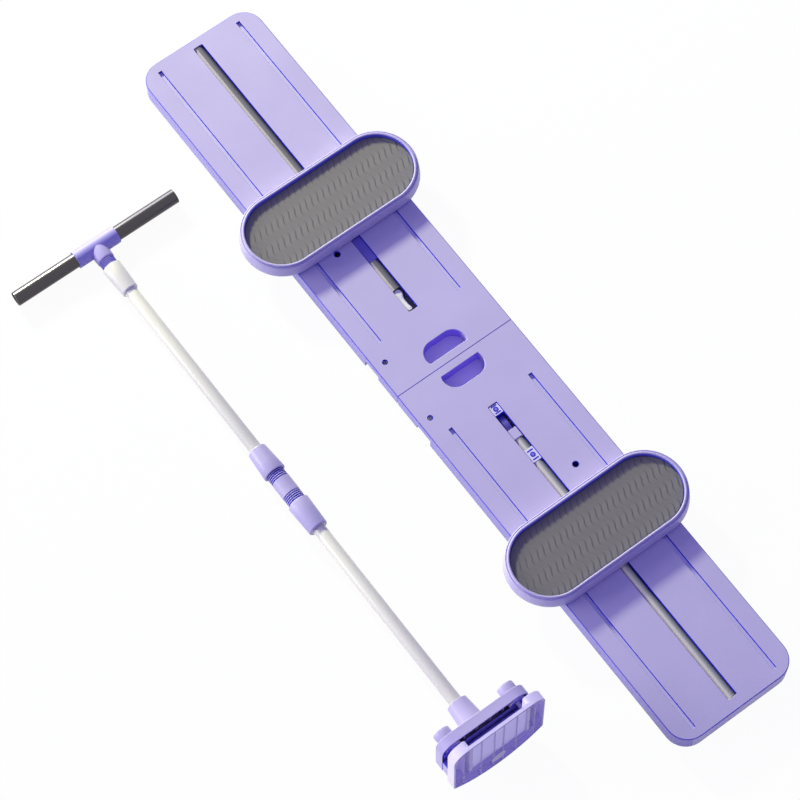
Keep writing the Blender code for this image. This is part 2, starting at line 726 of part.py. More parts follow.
def make_half(half):
    side = SIDES[half]
    pieces = [make_deck(half, side), make_base(half, side), make_holder(half, side)]
    pieces += make_strips(half, side)
    if half == "a":
        pieces.append(make_rod(half, side, CLIP_SPAN[1] + FIT_GAP, [STOP_SPAN]))
        pieces.append(make_clip(side))
        stop = make_support("rod_stop_a", side, STOP_SPAN, STOP_BELOW_DECK, LILAC)
        pieces.append(straddle(stop, side, STOP_SPAN))
        return pieces
    pieces.append(make_rod(half, side, BRIDGE_SPAN[0] + FIT_GAP, [BRIDGE_SPAN, SADDLE_MID_SPAN]))
    pieces.append(make_saddle("rod_saddle_inner_b", side, SADDLE_INNER_SPAN))
    pieces.append(straddle(make_saddle("rod_saddle_mid_b", side, SADDLE_MID_SPAN), side, SADDLE_MID_SPAN))
    bridge = make_support("slot_bridge_b", side, BRIDGE_SPAN, 0.0, LILAC, BRIDGE_SIDE_GAP)
    pieces.append(straddle(bridge, side, BRIDGE_SPAN))
    pieces.append(make_tongue(side))
    return pieces


def make_link(label):
    """A short bar with a pin hole near each end."""
    outline = arc((PIN_X, PIN_HEIGHT), LINK_RADIUS, -90, 90) + arc((-PIN_X, PIN_HEIGHT), LINK_RADIUS, 90, 270)
    y = LINK_Y[label]
    link = slab(f"hinge_link_{label}", outline, -LINK_WIDTH / 2 - y, LINK_WIDTH / 2 - y, STEEL, "Y")
    link.location.y = y
    for half, side in SIDES.items():
        bore = cylinder(
            f"link_bore_{label}_{half}",
            "Y",
            (side * PIN_X, y, PIN_HEIGHT),
            PIN_RADIUS + RUN_GAP,
            LINK_WIDTH + 2 * CUT,
            None,
            SMALL_ROUND,
        )
        cut(link, bore)
    return link


def make_pin(label, half):
    length = LINK_WIDTH + 2 * (LINK_SIDE_GAP + LUG_THICKNESS)
    centre = (SIDES[half] * PIN_X, LINK_Y[label], PIN_HEIGHT)
    return cylinder(f"hinge_pin_{label}_{half}", "Y", centre, PIN_RADIUS, length, STEEL, SMALL_ROUND)


def make_tray(half, x):
    """The foot plate's rim and floor, flared a little at its foot and hollow underneath."""
    outer = PLATE_INNER_RADIUS + RIM_WIDTH
    bottom = DECK_TOP + TRAY_ABOVE_DECK
    top = DECK_TOP + RIM_ABOVE_DECK
    floor_under = AXLE_Z + WHEEL_RADIUS + FIT_GAP
    tray = slab(f"tray_{half}", stadium(PLATE_STRAIGHT, outer), bottom, top, LILAC)
    for vertex in tray.data.vertices:
        if vertex.co.z < 0:
            spine = max(-PLATE_STRAIGHT, min(PLATE_STRAIGHT, vertex.co.y))
            grow = (outer + TRAY_FLARE) / outer
            vertex.co.x *= grow
            vertex.co.y = spine + (vertex.co.y - spine) * grow
    tray.location.x = x
    dish = slab(f"dish_{half}", stadium(PLATE_STRAIGHT, PLATE_INNER_RADIUS), floor_under + TRAY_FLOOR, top + CUT)
    hollow = slab(f"tray_hollow_{half}", stadium(PLATE_STRAIGHT, outer - TRAY_WALL), bottom - CUT, floor_under)
    dish.location.x = x
    hollow.location.x = x
    return cut(tray, dish, hollow)


def make_pad(half, x):
    bottom = AXLE_Z + WHEEL_RADIUS + FIT_GAP + TRAY_FLOOR + FIT_GAP
    outline = stadium(PLATE_STRAIGHT, PLATE_INNER_RADIUS - PAD_SIDE_GAP)
    pad = slab(f"pad_{half}", outline, bottom, bottom + PAD_THICKNESS, GREY_FOAM)
    pad.location.x = x
    return pad


def make_chassis(half, x):
    """The plate under the tray that holds the axles and sits on the carriage's neck."""
    radius = PLATE_INNER_RADIUS + RIM_WIDTH - TRAY_WALL - CHASSIS_SIDE_GAP
    bottom = DECK_TOP + CHASSIS_ABOVE_DECK
    top = AXLE_Z + WHEEL_RADIUS
    chassis = slab(f"chassis_{half}", stadium(PLATE_STRAIGHT, radius), bottom, top, DARK_LILAC)
    chassis.location.x = x
    near, far = CHASSIS_POCKET
    room = WHEEL_X - AXLE_RIB
    for label, side in (("left", -1), ("right", 1)):
        pocket = box(
            f"chassis_pocket_{label}_{half}",
            (x - room, side * near, bottom - CUT),
            (x + room, side * far, top - CHASSIS_TOP),
        )
        cut(chassis, pocket)
        for along in (-1, 1):
            wheel_half = WHEEL_WIDTH / 2 + WHEEL_SIDE_ROOM
            centre_x = x + along * WHEEL_X
            opening = box(
                f"wheel_opening_{label}_{half}",
                (centre_x - WHEEL_RADIUS - WHEEL_SIDE_ROOM, side * GROOVE_Y - wheel_half, bottom - CUT),
                (centre_x + WHEEL_RADIUS + WHEEL_SIDE_ROOM, side * GROOVE_Y + wheel_half, top + CUT),
            )
            cut(chassis, opening)
    for along in (-1, 1):
        centre = (x + along * WHEEL_X, 0.0, AXLE_Z)
        cut(chassis, cylinder(f"axle_bore_{half}", "Y", centre, AXLE_RADIUS + RUN_GAP, 2 * GROOVE_Y, None, SMALL_ROUND))
    return chassis


def make_carriage(half, x):
    """The block that runs on the guide rod; its neck comes up through the slot."""
    low_z = ROD_Z - ROD_RADIUS - CARRIAGE_BELOW_ROD
    high_z = DECK_TOP + CHASSIS_ABOVE_DECK - FIT_GAP
    carriage = box(
        f"carriage_{half}",
        (x - CARRIAGE_HALF_LENGTH, SLOT_Y - CARRIAGE_HALF_WIDTH, low_z),
        (x + CARRIAGE_HALF_LENGTH, SLOT_Y + CARRIAGE_HALF_WIDTH, high_z),
        DARK_LILAC,
    )
    neck = SLOT_WIDTH / 2 - NECK_SIDE_GAP
    for label, side in (("left", -1), ("right", 1)):
        step = box(
            f"carriage_shoulder_{label}_{half}",
            (x - CARRIAGE_HALF_LENGTH - CUT, SLOT_Y + side * neck, DECK_UNDER - FIT_GAP),
            (x + CARRIAGE_HALF_LENGTH + CUT, SLOT_Y + side * (CARRIAGE_HALF_WIDTH + CUT), high_z + CUT),
        )
        cut(carriage, step)
    length = 2 * (CARRIAGE_HALF_LENGTH + CUT)
    cut(carriage, cylinder(f"carriage_bore_{half}", "X", (x, SLOT_Y, ROD_Z), ROD_RADIUS + RUN_GAP, length))
    return carriage


def make_wheelset(half, centre_x, row):
    """An axle across the plate with a wheel in each groove."""
    length = 2 * (GROOVE_Y + WHEEL_WIDTH / 2 + FIT_GAP)
    pieces = [cylinder(f"axle_{row}_{half}", "Y", (centre_x, 0.0, AXLE_Z), AXLE_RADIUS, length, STEEL, SMALL_ROUND)]
    for label, side in (("left", -1), ("right", 1)):
        centre = (centre_x, side * GROOVE_Y, AXLE_Z)
        wheel = cylinder(f"wheel_{label}_{row}_{half}", "Y", centre, WHEEL_RADIUS, WHEEL_WIDTH, RUBBER)
        bore = cylinder(
            f"wheel_bore_{label}_{row}_{half}", "Y", centre, AXLE_RADIUS + RUN_GAP, WHEEL_WIDTH + CUT, None, SMALL_ROUND
        )
        pieces.append(cut(wheel, bore))
    return pieces


def make_plate(half):
    x = PLATE_X[half]
    slide = add_empty(f"plate_{half}_slide", (x, 0.0, AXLE_Z))
    carry(slide, make_tray(half, x), make_pad(half, x), make_chassis(half, x), make_carriage(half, x))
    for row, outwards in (("outer", SIDES[half]), ("inner", -SIDES[half])):
        centre_x = x + outwards * WHEEL_X
        turn = add_empty(f"wheelset_{row}_{half}_axis", (centre_x, 0.0, AXLE_Z))
        carry(turn, *make_wheelset(half, centre_x, row))
        carry(slide, turn)


def tube(name, axis, span, radius, wall, material):
    """A straight tube between two places along the pole's X, or across it along Y."""
    length = span[1] - span[0]
    middle = (span[0] + span[1]) / 2
    centre = (middle, 0.0, 0.0) if axis == "X" else (0.0, middle, 0.0)
    outer = cylinder(name, axis, centre, radius, length, material)
    bore = cylinder(f"{name}_bore", axis, centre, radius - wall, length + 2 * CUT)
    cut(outer, bore)
    return [outer, bore]


def thread(start, stop, radii):
    """A turned thread's outer side: rings of one pitch each between two places, from root to crest radius."""
    points = []
    root, crest = radii
    count = max(1, int((stop - start) / THREAD_PITCH + 1e-6))
    for turn in range(count):
        low = start + turn * THREAD_PITCH
        for radius, share in ((root, 0.1), (crest, 0.3), (crest, 0.7), (root, 0.9)):
            points.append((radius, low + share * THREAD_PITCH))
    return points


def make_nut(name, span, radii, crest, material):
    """A tapered nut; span runs from its wide threaded mouth to its narrow lip round the tube."""
    mouth, lip = span
    way = 1 if lip > mouth else -1
    step = lip - way * NUT_LIP
    bore = crest + FIT_GAP
    slip = TUBE_RADIUS + FIT_GAP
    length = abs(lip - mouth)
    profile = [
        (radii[1], length),
        (radii[0], 0.0),
        (bore, 0.0),
        (bore, abs(step - mouth)),
        (slip, abs(step - mouth)),
        (slip, length),
    ]
    nut = turned(name, profile, (mouth, 0.0, 0.0), material)
    if way < 0:
        nut.rotation_euler = (0.0, -math.pi / 2, 0.0)
    return nut


def make_tee():
    """The tee: a sleeve round the crossbar and a threaded neck for the upper tube."""
    tee = cylinder("tee_sleeve", "Y", (0.0, 0.0, 0.0), TEE_RADIUS, TEE_LENGTH, LILAC)
    root = TEE_THREAD[0]
    outer = [(TEE_NECK_RADII[0], BAR_RADIUS), (TEE_NECK_RADII[0], TEE_RADIUS), (TEE_NECK_RADII[1], TEE_THREAD_X)]
    outer += thread(TEE_THREAD_X, TEE_NUT_SPAN[0], TEE_THREAD) + [(root, TEE_NECK_X)]
    profile = [(0.0, TEE_NECK_X)] + outer[::-1] + [(0.0, BAR_RADIUS)]
    neck = turned("tee_neck", profile, (0.0, 0.0, 0.0), None, False)
    bar_bore = cylinder("tee_bar_bore", "Y", (0.0, 0.0, 0.0), BAR_RADIUS + FIT_GAP, TEE_LENGTH + 2 * CUT)
    socket_start = TEE_RADIUS + TUBE_STOP
    length = TEE_NECK_X - socket_start + CUT
    socket = cylinder("tee_socket", "X", (socket_start + length / 2, 0.0, 0.0), TUBE_RADIUS + FIT_GAP, length)
    join(tee, neck)
    cut(tee, bar_bore, socket)
    pieces = [tee, neck, bar_bore, socket]
    for label, side in (("left", -1), ("right", 1)):
        way = (math.cos(TEE_SCREW_ANGLE), math.sin(TEE_SCREW_ANGLE))
        depth = TEE_RADIUS - BAR_RADIUS - FIT_GAP
        middle = TEE_RADIUS - depth / 2
        for name, radius, length, material in (
            (f"tee_screw_hole_{label}", TEE_SCREW_RADIUS + FIT_GAP, depth + 2 * CUT, None),
            (f"tee_screw_{label}", TEE_SCREW_RADIUS, depth - FIT_GAP, GUNMETAL),
        ):
            centre = (middle * way[0], side * TEE_SCREW_Y, middle * way[1])
            screw = cylinder(name, "X", centre, radius, length, material, SMALL_ROUND)
            screw.rotation_euler = (0.0, -TEE_SCREW_ANGLE, 0.0)
            if material is None:
                cut(tee, screw)
            pieces.append(screw)
    return pieces


def make_connector():
    """The threaded joint between the two tubes, with a stop wall in its middle."""
    start = COLLAR_NUT_SPAN[1] + NUT_LIP - FIT_GAP
    end = CONE_NUT_SPAN[1] - NUT_LIP + FIT_GAP
    start += 2 * FIT_GAP
    end -= 2 * FIT_GAP
    root = JOINT_THREAD[0]
    outer = [(root, start)]
    outer += thread(COLLAR_NUT_SPAN[0], BARREL_SPAN[0], JOINT_THREAD)
    outer += [(BARREL_RADIUS, BARREL_SPAN[0]), (BARREL_RADIUS, BARREL_SPAN[1])]
    outer += thread(BARREL_SPAN[1], CONE_NUT_SPAN[0], JOINT_THREAD)
    outer += [(root, end)]
    profile = [(0.0, end)] + outer[::-1] + [(0.0, start)]
    connector = turned("connector", profile, (0.0, 0.0, 0.0), LILAC, False)
    middle = sum(BARREL_SPAN) / 2
    radius = TUBE_RADIUS + FIT_GAP
    pieces = [connector]
    for label, low, high in (("upper", start - CUT, middle - TUBE_STOP), ("lower", middle + TUBE_STOP, end + CUT)):
        bore = cylinder(f"connector_bore_{label}", "X", ((low + high) / 2, 0.0, 0.0), radius, high - low)
        cut(connector, bore)
        pieces.append(bore)
    return pieces


def clamp_outline(width, height, inset=0.0):
    """The clamp seen along the pole, as (y, z): a bowed foot, straight sides and rounded top corners."""
    half = width / 2
    sweep = math.atan2(CLAMP_BOW, half) * 2
    bow_radius = half / math.sin(sweep)
    centre_z = CLAMP_SHOULDER_Z - CLAMP_BOW + bow_radius
    half -= inset
    foot = math.degrees(math.asin(half / (bow_radius - inset)))
    top = CLAMP_SHOULDER_Z + height - inset
    corner = CLAMP_CORNER - inset
    return (
        arc((0.0, centre_z), bow_radius - inset, 270 - foot, 270 + foot, 16)
        + arc((half - corner, top - corner), corner, 0, 90)
        + arc((-half + corner, top - corner), corner, 90, 180)
    )


def web_outline():
    """The clamp's foot, set in a little from its two plates, from its bow to the bottom of the slot."""
    bow = clamp_outline(CLAMP_PLATE_WIDTH, CLAMP_PLATE_HEIGHT, WEB_INSET)[:17]
    top = CLAMP_SHOULDER_Z + CLAMP_WEB
    half = CLAMP_PLATE_WIDTH / 2 - WEB_INSET
    return bow + [(half, top), (-half, top)]


def make_clamp():
    """The clamp that grips the board's left edge: two plates joined by a web, with a socket for the pole."""
    slot_start = CLAMP_X + CLAMP_PLATE
    slot_end = slot_start + CLAMP_SLOT
    face = slot_end + CLAMP_RIB_PLATE
    overlap = CLAMP_WALL / 2
    web_top = CLAMP_SHOULDER_Z + CLAMP_WEB
    half = CLAMP_WIDTH / 2
    clamp = slab("clamp_body", clamp_outline(CLAMP_PLATE_WIDTH, CLAMP_PLATE_HEIGHT), CLAMP_X, slot_start, LILAC, "X")
    web = slab("clamp_web", web_outline(), slot_start - overlap, slot_end + overlap, None, "X")
    rib_plate = slab("clamp_rib_plate", clamp_outline(CLAMP_WIDTH, CLAMP_RIB_HEIGHT), slot_end, face, None, "X")
    profile = [
        (0.0, CLAMP_X + overlap),
        (SOCKET_RADII[1], CLAMP_X + overlap),
        (SOCKET_RADII[1], CLAMP_X),
        (SOCKET_RADII[0], SOCKET_X),
        (0.0, SOCKET_X),
    ]
    socket = turned("clamp_socket", profile, (0.0, 0.0, 0.0), None, False)
    join(clamp, web, rib_plate, socket)
    pieces = [clamp, web, rib_plate, socket]

    horn_inner = half - HORN_WIDTH
    horn_top = CLAMP_SHOULDER_Z + CLAMP_RIB_HEIGHT
    right = [(horn_inner, web_top)] + arc((horn_inner + HORN_CORNER, horn_top - HORN_CORNER), HORN_CORNER, 180, 90)
    right.append((horn_inner + HORN_CORNER, horn_top + CUT))
    gap = right + [(-y, z) for y, z in reversed(right)]
    setback = slab("clamp_setback", gap, slot_end - CUT, face - CLAMP_MIDDLE, None, "X")
    length = CLAMP_X + CLAMP_PLATE - CLAMP_WALL - SOCKET_X
    bore = cylinder("clamp_bore", "X", (SOCKET_X + length / 2 - CUT / 2, 0.0, 0.0), TUBE_RADIUS + FIT_GAP, length + CUT)
    cut(clamp, setback, bore)
    pieces += [setback, bore]

    pocket_back = CLAMP_X + CLAMP_WALL
    hollow = slab(
        "clamp_hollow",
        clamp_outline(CLAMP_PLATE_WIDTH, CLAMP_PLATE_HEIGHT, CLAMP_WALL),
        pocket_back,
        slot_start + CUT,
        None,
        "X",
    )
    keep = [
        box(
            "hollow_keep_web",
            (pocket_back - CUT, -half - CUT, CLAMP_SHOULDER_Z - CLAMP_BOW - CUT),
            (slot_start + 2 * CUT, half + CUT, web_top + FIT_GAP),
        )
    ]
    for number, y in enumerate((-PEG_X, PEG_X)):
        centre = ((CLAMP_X + slot_start) / 2, y, CLAMP_SHOULDER_Z + PEG_HEIGHT)
        keep.append(cylinder(f"hollow_keep_boss_{number}", "X", centre, KNOB_RADIUS, CLAMP_PLATE + 4 * CUT))
    for number, y in enumerate(PLATE_RIB_PLACES):
        keep.append(
            box(
                f"hollow_keep_rib_{number}",
                (pocket_back - CUT, y - RIB_THICKNESS / 2, web_top),
                (slot_start - PLATE_RIB_DROP, y + RIB_THICKNESS / 2, CLAMP_SHOULDER_Z + CLAMP_PLATE_HEIGHT),
            )
        )
    cut(hollow, *keep)
    pieces += [hollow, *keep]
    cut(clamp, hollow)

    shelf_z = CLAMP_SHOULDER_Z + RIB_LEVELS[1]
    panel_half = horn_inner - CLAMP_WALL
    panel_top = horn_top - CLAMP_WALL
    panel = box("rib_panel", (face - PANEL_DEPTH, -panel_half, shelf_z + RIB_THICKNESS / 2), (face + CUT, panel_half, panel_top))
    recess = slab(
        "rib_recess", clamp_outline(CLAMP_WIDTH, CLAMP_RIB_HEIGHT, CLAMP_WALL), face - RIB_DEPTH, face + CUT, None, "X"
    )
    wide = horn_inner + CLAMP_WALL
    middle = box("recess_middle", (face - RIB_DEPTH - CUT, -wide, shelf_z), (face + 2 * CUT, wide, horn_top))
    cut(recess, middle)
    low = CLAMP_SHOULDER_Z - CLAMP_BOW - CUT
    pieces += [panel, recess, middle]
    for number, y in enumerate(RIB_PLACES):
        bar = (face - RIB_DEPTH - CUT, y - RIB_THICKNESS / 2, low), (face + 2 * CUT, y + RIB_THICKNESS / 2, horn_top + CUT)
        rib = box(f"recess_rib_{number}", *bar)
        cut(recess, rib)
        cut(panel, rib)
        pieces.append(rib)
    for number, level in enumerate(RIB_LEVELS):
        z = CLAMP_SHOULDER_Z + level
        bar = (face - RIB_DEPTH - CUT, -half - CUT, z - RIB_THICKNESS / 2), (face + 2 * CUT, half + CUT, z + RIB_THICKNESS / 2)
        shelf = box(f"recess_level_{number}", *bar)
        cut(recess, shelf)
        pieces.append(shelf)
    disc = cylinder("recess_disc", "X", (face, 0.0, 0.0), BOSS_RADIUS, 2 * (RIB_DEPTH + 2 * CUT))
    cut(recess, disc)
    pieces.append(disc)
    cut(clamp, panel, recess)

    for label, y in (("left", -PEG_X), ("right", PEG_X)):
        z = CLAMP_SHOULDER_Z + PEG_HEIGHT
        stem_length = CLAMP_PLATE + 2 * CUT
        stem_x = CLAMP_X - CUT + stem_length / 2
        stem = cylinder(f"stem_hole_{label}", "X", (stem_x, y, z), KNOB_STEM_RADIUS + FIT_GAP, stem_length, None, SMALL_ROUND)
        tip_length = CLAMP_RIB_PLATE + 2 * CUT
        tip = cylinder(
            f"tip_hole_{label}", "X", (slot_end + CLAMP_RIB_PLATE / 2, y, z), PEG_HOLE_RADIUS, tip_length, None, SMALL_ROUND
        )
        cut(clamp, stem, tip)
        pieces += [stem, tip]
    return pieces


def make_knob(label, y):
    """A sprung pull knob whose peg crosses the clamp's slot."""
    reach = CLAMP_PLATE + CLAMP_SLOT + CLAMP_RIB_PLATE / 2
    neck = CLAMP_PLATE - FIT_GAP
    profile = [
        (0.0, reach),
        (PEG_RADIUS, reach),
        (PEG_RADIUS, neck),
        (KNOB_STEM_RADIUS, neck),
        (KNOB_STEM_RADIUS, -FIT_GAP),
        (KNOB_RADIUS, -FIT_GAP),
        (KNOB_RADIUS, -KNOB_LENGTH),
        (0.0, -KNOB_LENGTH),
    ]
    place = (CLAMP_X, y, CLAMP_SHOULDER_Z + PEG_HEIGHT)
    return turned(f"peg_knob_{label}", profile, place, LILAC, False, 24)


def make_crossbar():
    half = BAR_LENGTH / 2
    pieces = tube("crossbar_tube", "Y", (-half, half), BAR_RADIUS, BAR_WALL, GUNMETAL)
    for label, side in (("left", -1), ("right", 1)):
        middle = side * (half - CAP_RECESS - CAP_DEPTH / 2)
        radius = BAR_RADIUS - BAR_WALL - FIT_GAP
        pieces.append(cylinder(f"crossbar_cap_{label}", "Y", (0.0, middle, 0.0), radius, CAP_DEPTH, RUBBER))
    return pieces


def make_pole():
    """The push-up pole, laid on the floor on its tee and on the bow of its clamp."""
    tee_z = TEE_RADIUS + RUN_GAP
    clamp_z = CLAMP_BOW - CLAMP_SHOULDER_Z + RUN_GAP
    tilt = math.asin((clamp_z - tee_z) / CLAMP_X)
    frame = add_empty("pole_frame", (POLE_X, POLE_Y, tee_z), -tilt)
    barrel = sum(BARREL_SPAN) / 2
    upper_start = TEE_RADIUS + TUBE_STOP + FIT_GAP
    upper = (upper_start, barrel - TUBE_STOP - FIT_GAP)
    lower = (barrel + TUBE_STOP + FIT_GAP, CLAMP_X + CLAMP_PLATE - CLAMP_WALL - FIT_GAP - CUT)
    hang(frame, *make_crossbar(), *make_tee())
    hang(frame, *tube("upper_tube", "X", upper, TUBE_RADIUS, TUBE_WALL, WHITE_METAL))
    hang(frame, *tube("lower_tube", "X", lower, TUBE_RADIUS, TUBE_WALL, WHITE_METAL))
    hang(frame, make_nut("tee_nut", TEE_NUT_SPAN, TEE_NUT_RADII, TEE_THREAD[1], WHITE))
    hang(frame, make_nut("collar_nut", COLLAR_NUT_SPAN, COLLAR_NUT_RADII, JOINT_THREAD[1], LILAC))
    hang(frame, make_nut("cone_nut", CONE_NUT_SPAN, CONE_NUT_RADII, JOINT_THREAD[1], LILAC))
    hang(frame, *make_connector(), *make_clamp())
    hang(frame, make_knob("left", -PEG_X), make_knob("right", PEG_X))


def centre_on_origin():
    for group in (PARTS, CUTTERS):
        for each in group.objects:
            if each.parent is None:
                each.location.y -= MIDDLE_Y


def main():
    fold = add_empty("half_a_fold", (-PIN_X, 0.0, PIN_HEIGHT))
    carry(fold, *make_half("a"))
    make_half("b")
    link_turn = add_empty("link_fold", (PIN_X, 0.0, PIN_HEIGHT))
    for label in LINK_Y:
        carry(link_turn, make_link(label))
        carry(fold, make_pin(label, "a"))
        make_pin(label, "b")
    make_plate("a")
    make_plate("b")
    make_pole()
    centre_on_origin()


main()
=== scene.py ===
import json
import math
from functools import partial, reduce

import bmesh
import bpy
from mathutils import Matrix, Vector
from mathutils.geometry import delaunay_2d_cdt

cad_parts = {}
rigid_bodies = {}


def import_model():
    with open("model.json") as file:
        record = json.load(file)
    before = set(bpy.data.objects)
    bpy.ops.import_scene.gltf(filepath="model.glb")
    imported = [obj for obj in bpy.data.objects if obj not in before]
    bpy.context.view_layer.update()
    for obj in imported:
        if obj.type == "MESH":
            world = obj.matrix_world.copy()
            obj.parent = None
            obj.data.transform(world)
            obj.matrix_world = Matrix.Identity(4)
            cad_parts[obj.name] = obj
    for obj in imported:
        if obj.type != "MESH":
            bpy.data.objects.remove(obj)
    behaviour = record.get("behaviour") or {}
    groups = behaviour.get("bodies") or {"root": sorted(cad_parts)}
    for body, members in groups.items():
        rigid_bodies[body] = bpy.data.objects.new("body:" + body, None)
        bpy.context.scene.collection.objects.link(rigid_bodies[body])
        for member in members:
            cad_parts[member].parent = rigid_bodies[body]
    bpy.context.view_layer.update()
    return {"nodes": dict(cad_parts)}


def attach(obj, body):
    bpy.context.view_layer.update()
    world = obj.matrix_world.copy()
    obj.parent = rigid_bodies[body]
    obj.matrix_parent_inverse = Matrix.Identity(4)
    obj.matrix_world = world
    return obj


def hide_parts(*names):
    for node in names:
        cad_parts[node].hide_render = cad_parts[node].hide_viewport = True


for leftOver in list(bpy.data.objects):
    bpy.data.objects.remove(leftOver, do_unlink=True)
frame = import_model()
nodes = frame["nodes"]
print("frame loaded:", len(nodes), "nodes")

# where the board and the pole lie, in metres; the pole's own X runs from its crossbar to its clamp
board = {"middleY": 0.1468, "deckTop": 0.034, "slotY": 0.1455}
pole = {"start": (-0.4515, -0.1547, 0.0136), "rise": math.asin(0.0165 / 0.903)}
poleMatrix = Matrix.Translation(pole["start"]) @ Matrix.Rotation(-pole["rise"], 4, "Y")
poleInverse = poleMatrix.inverted()

# grains, mottles and marks are in cycles a metre, the foam's waves in metres
plasticLook = {"grain": 900.0, "bump": 0.12, "mottle": 14.0, "mottleDepth": 0.05, "specular": 0.35}
foamLook = {"pitch": 0.010, "sway": 0.0026, "swayLength": 0.030, "grain": 2600.0, "creaseShade": 0.45}
metalLook = {"stretch": 60.0, "marks": 50.0, "darker": 0.92}
paintLook = {"peel": 420.0, "shade": 9.0, "roughness": 0.3}
rodLook = {"base": (0.40, 0.40, 0.36), "pale": (0.82, 0.77, 0.72), "roughness": 0.42, "metallic": 0.3}


def srgb(red, green, blue):
    steps = [value / 255 for value in (red, green, blue)]
    return tuple(v / 12.92 if v <= 0.04045 else ((v + 0.055) / 1.055) ** 2.4 for v in steps)


def scaled(colour, share):
    return tuple(min(1.0, part * share) for part in colour)


def addObject(name, data):
    made = bpy.data.objects.new(name, data)
    bpy.context.scene.collection.objects.link(made)
    return made


def addNode(tree, kind, inputs=(), **settings):
    # a node whose inputs, by name or number, are values or other nodes' outputs
    node = tree.nodes.new(kind)
    for key, value in settings.items():
        setattr(node, key, value)
    for name, value in dict(inputs).items():
        if isinstance(value, bpy.types.NodeSocket):
            tree.links.new(value, node.inputs[name])
        else:
            node.inputs[name].default_value = value
    return node


def calculate(tree, operation, *values):
    return addNode(tree, "ShaderNodeMath", enumerate(values), operation=operation).outputs[0]


def newMaterial(name, colour, roughness, metallic=0.0):
    material = bpy.data.materials.new(name)
    material.use_nodes = True
    shader = material.node_tree.nodes["Principled BSDF"]
    shader.inputs["Base Color"].default_value = (*colour, 1.0)
    shader.inputs["Roughness"].default_value = roughness
    shader.inputs["Metallic"].default_value = metallic
    return material, material.node_tree, shader


def objectPlace(tree, scale=(1.0, 1.0, 1.0), location=(0.0, 0.0, 0.0)):
    # a pattern's coordinates, in metres from the object's origin
    place = addNode(tree, "ShaderNodeTexCoord").outputs["Object"]
    inputs = {"Vector": place, "Scale": scale, "Location": location}
    return addNode(tree, "ShaderNodeMapping", inputs).outputs["Vector"]


def noise(tree, place, scale, detail=3.0):
    inputs = {"Vector": place, "Scale": scale, "Detail": detail}
    return addNode(tree, "ShaderNodeTexNoise", inputs).outputs["Fac"]


def mixColours(tree, share, *colours):
    first, second = (c if isinstance(c, bpy.types.NodeSocket) else (*c, 1.0) for c in colours)
    inputs = {"Factor": share, "A": first, "B": second}
    return addNode(tree, "ShaderNodeMix", inputs, data_type="RGBA").outputs["Result"]


def remap(tree, value, fromLow, fromHigh, toLow, toHigh):
    inputs = {"Value": value, "From Min": fromLow, "From Max": fromHigh, "To Min": toLow, "To Max": toHigh}
    return addNode(tree, "ShaderNodeMapRange", inputs).outputs["Result"]


def bump(tree, shader, height, strength, distance):
    node = addNode(tree, "ShaderNodeBump", {"Height": height, "Strength": strength, "Distance": distance})
    tree.links.new(node.outputs["Normal"], shader.inputs["Normal"])


def mouldedPlastic(name, colour, roughness):
    # satin moulded plastic: fine spark-eroded grain, a faint mottle and slightly uneven gloss
    material, tree, shader = newMaterial(name, colour, roughness)
    place = objectPlace(tree)
    mottle = noise(tree, place, plasticLook["mottle"], 4.0)
    depth = plasticLook["mottleDepth"]
    shades = mixColours(tree, mottle, scaled(colour, 1 - depth), scaled(colour, 1 + depth))
    tree.links.new(shades, shader.inputs["Base Color"])
    gloss = remap(tree, mottle, 0.3, 0.7, roughness - 0.05, roughness + 0.06)
    tree.links.new(gloss, shader.inputs["Roughness"])
    bump(tree, shader, noise(tree, place, plasticLook["grain"], 2.0), plasticLook["bump"], 0.0002)
    shader.inputs["Specular IOR Level"].default_value = plasticLook["specular"]
    return material


def brushedMetal(name, colour, roughness, along, metallic=1.0):
    # fine drawing marks along the tube or rod
    material, tree, shader = newMaterial(name, colour, roughness, metallic)
    scale = [metalLook["stretch"]] * 3
    scale["XYZ".index(along)] = 1.0
    marks = noise(tree, objectPlace(tree, scale), metalLook["marks"])
    gloss = remap(tree, marks, 0.3, 0.7, roughness * 0.8, roughness * 1.3)
    tree.links.new(gloss, shader.inputs["Roughness"])
    shades = mixColours(tree, marks, scaled(colour, metalLook["darker"]), colour)
    tree.links.new(shades, shader.inputs["Base Color"])
    bump(tree, shader, marks, 0.02, 0.00005)
    return material


def sideLitRod(name, span, dark):
    # painted light and shade: one side of the rod lighter, the other darker, across this span of the rod
    material = brushedMetal(name, rodLook["base"], rodLook["roughness"], "X", rodLook["metallic"])
    tree = material.node_tree
    place = objectPlace(tree, location=(0.0, -board["slotY"], 0.0))
    across = addNode(tree, "ShaderNodeSeparateXYZ", {"Vector": place}).outputs["Y"]
    shades = mixColours(tree, remap(tree, across, *span, 0.0, 1.0), rodLook["pale"], dark)
    tree.links.new(shades, tree.nodes["Principled BSDF"].inputs["Base Color"])
    return material


def paintedMetal(name, colour):
    # powder paint: an even orange peel
    material, tree, shader = newMaterial(name, colour, paintLook["roughness"])
    place = objectPlace(tree)
    peel = noise(tree, place, paintLook["peel"], 2.0)
    tree.links.new(remap(tree, peel, 0.3, 0.7, 0.26, 0.36), shader.inputs["Roughness"])
    shades = mixColours(tree, noise(tree, place, paintLook["shade"], 2.0), scaled(colour, 0.96), colour)
    tree.links.new(shades, shader.inputs["Base Color"])
    bump(tree, shader, peel, 0.06, 0.0002)
    return material


def blackRubber(name, colour):
    material, tree, shader = newMaterial(name, colour, 0.8)
    place = objectPlace(tree)
    dust = noise(tree, place, 60.0, 5.0)
    tree.links.new(mixColours(tree, dust, colour, scaled(colour, 1.7)), shader.inputs["Base Color"])
    bump(tree, shader, noise(tree, place, 1400.0, 2.0), 0.25, 0.0003)
    return material


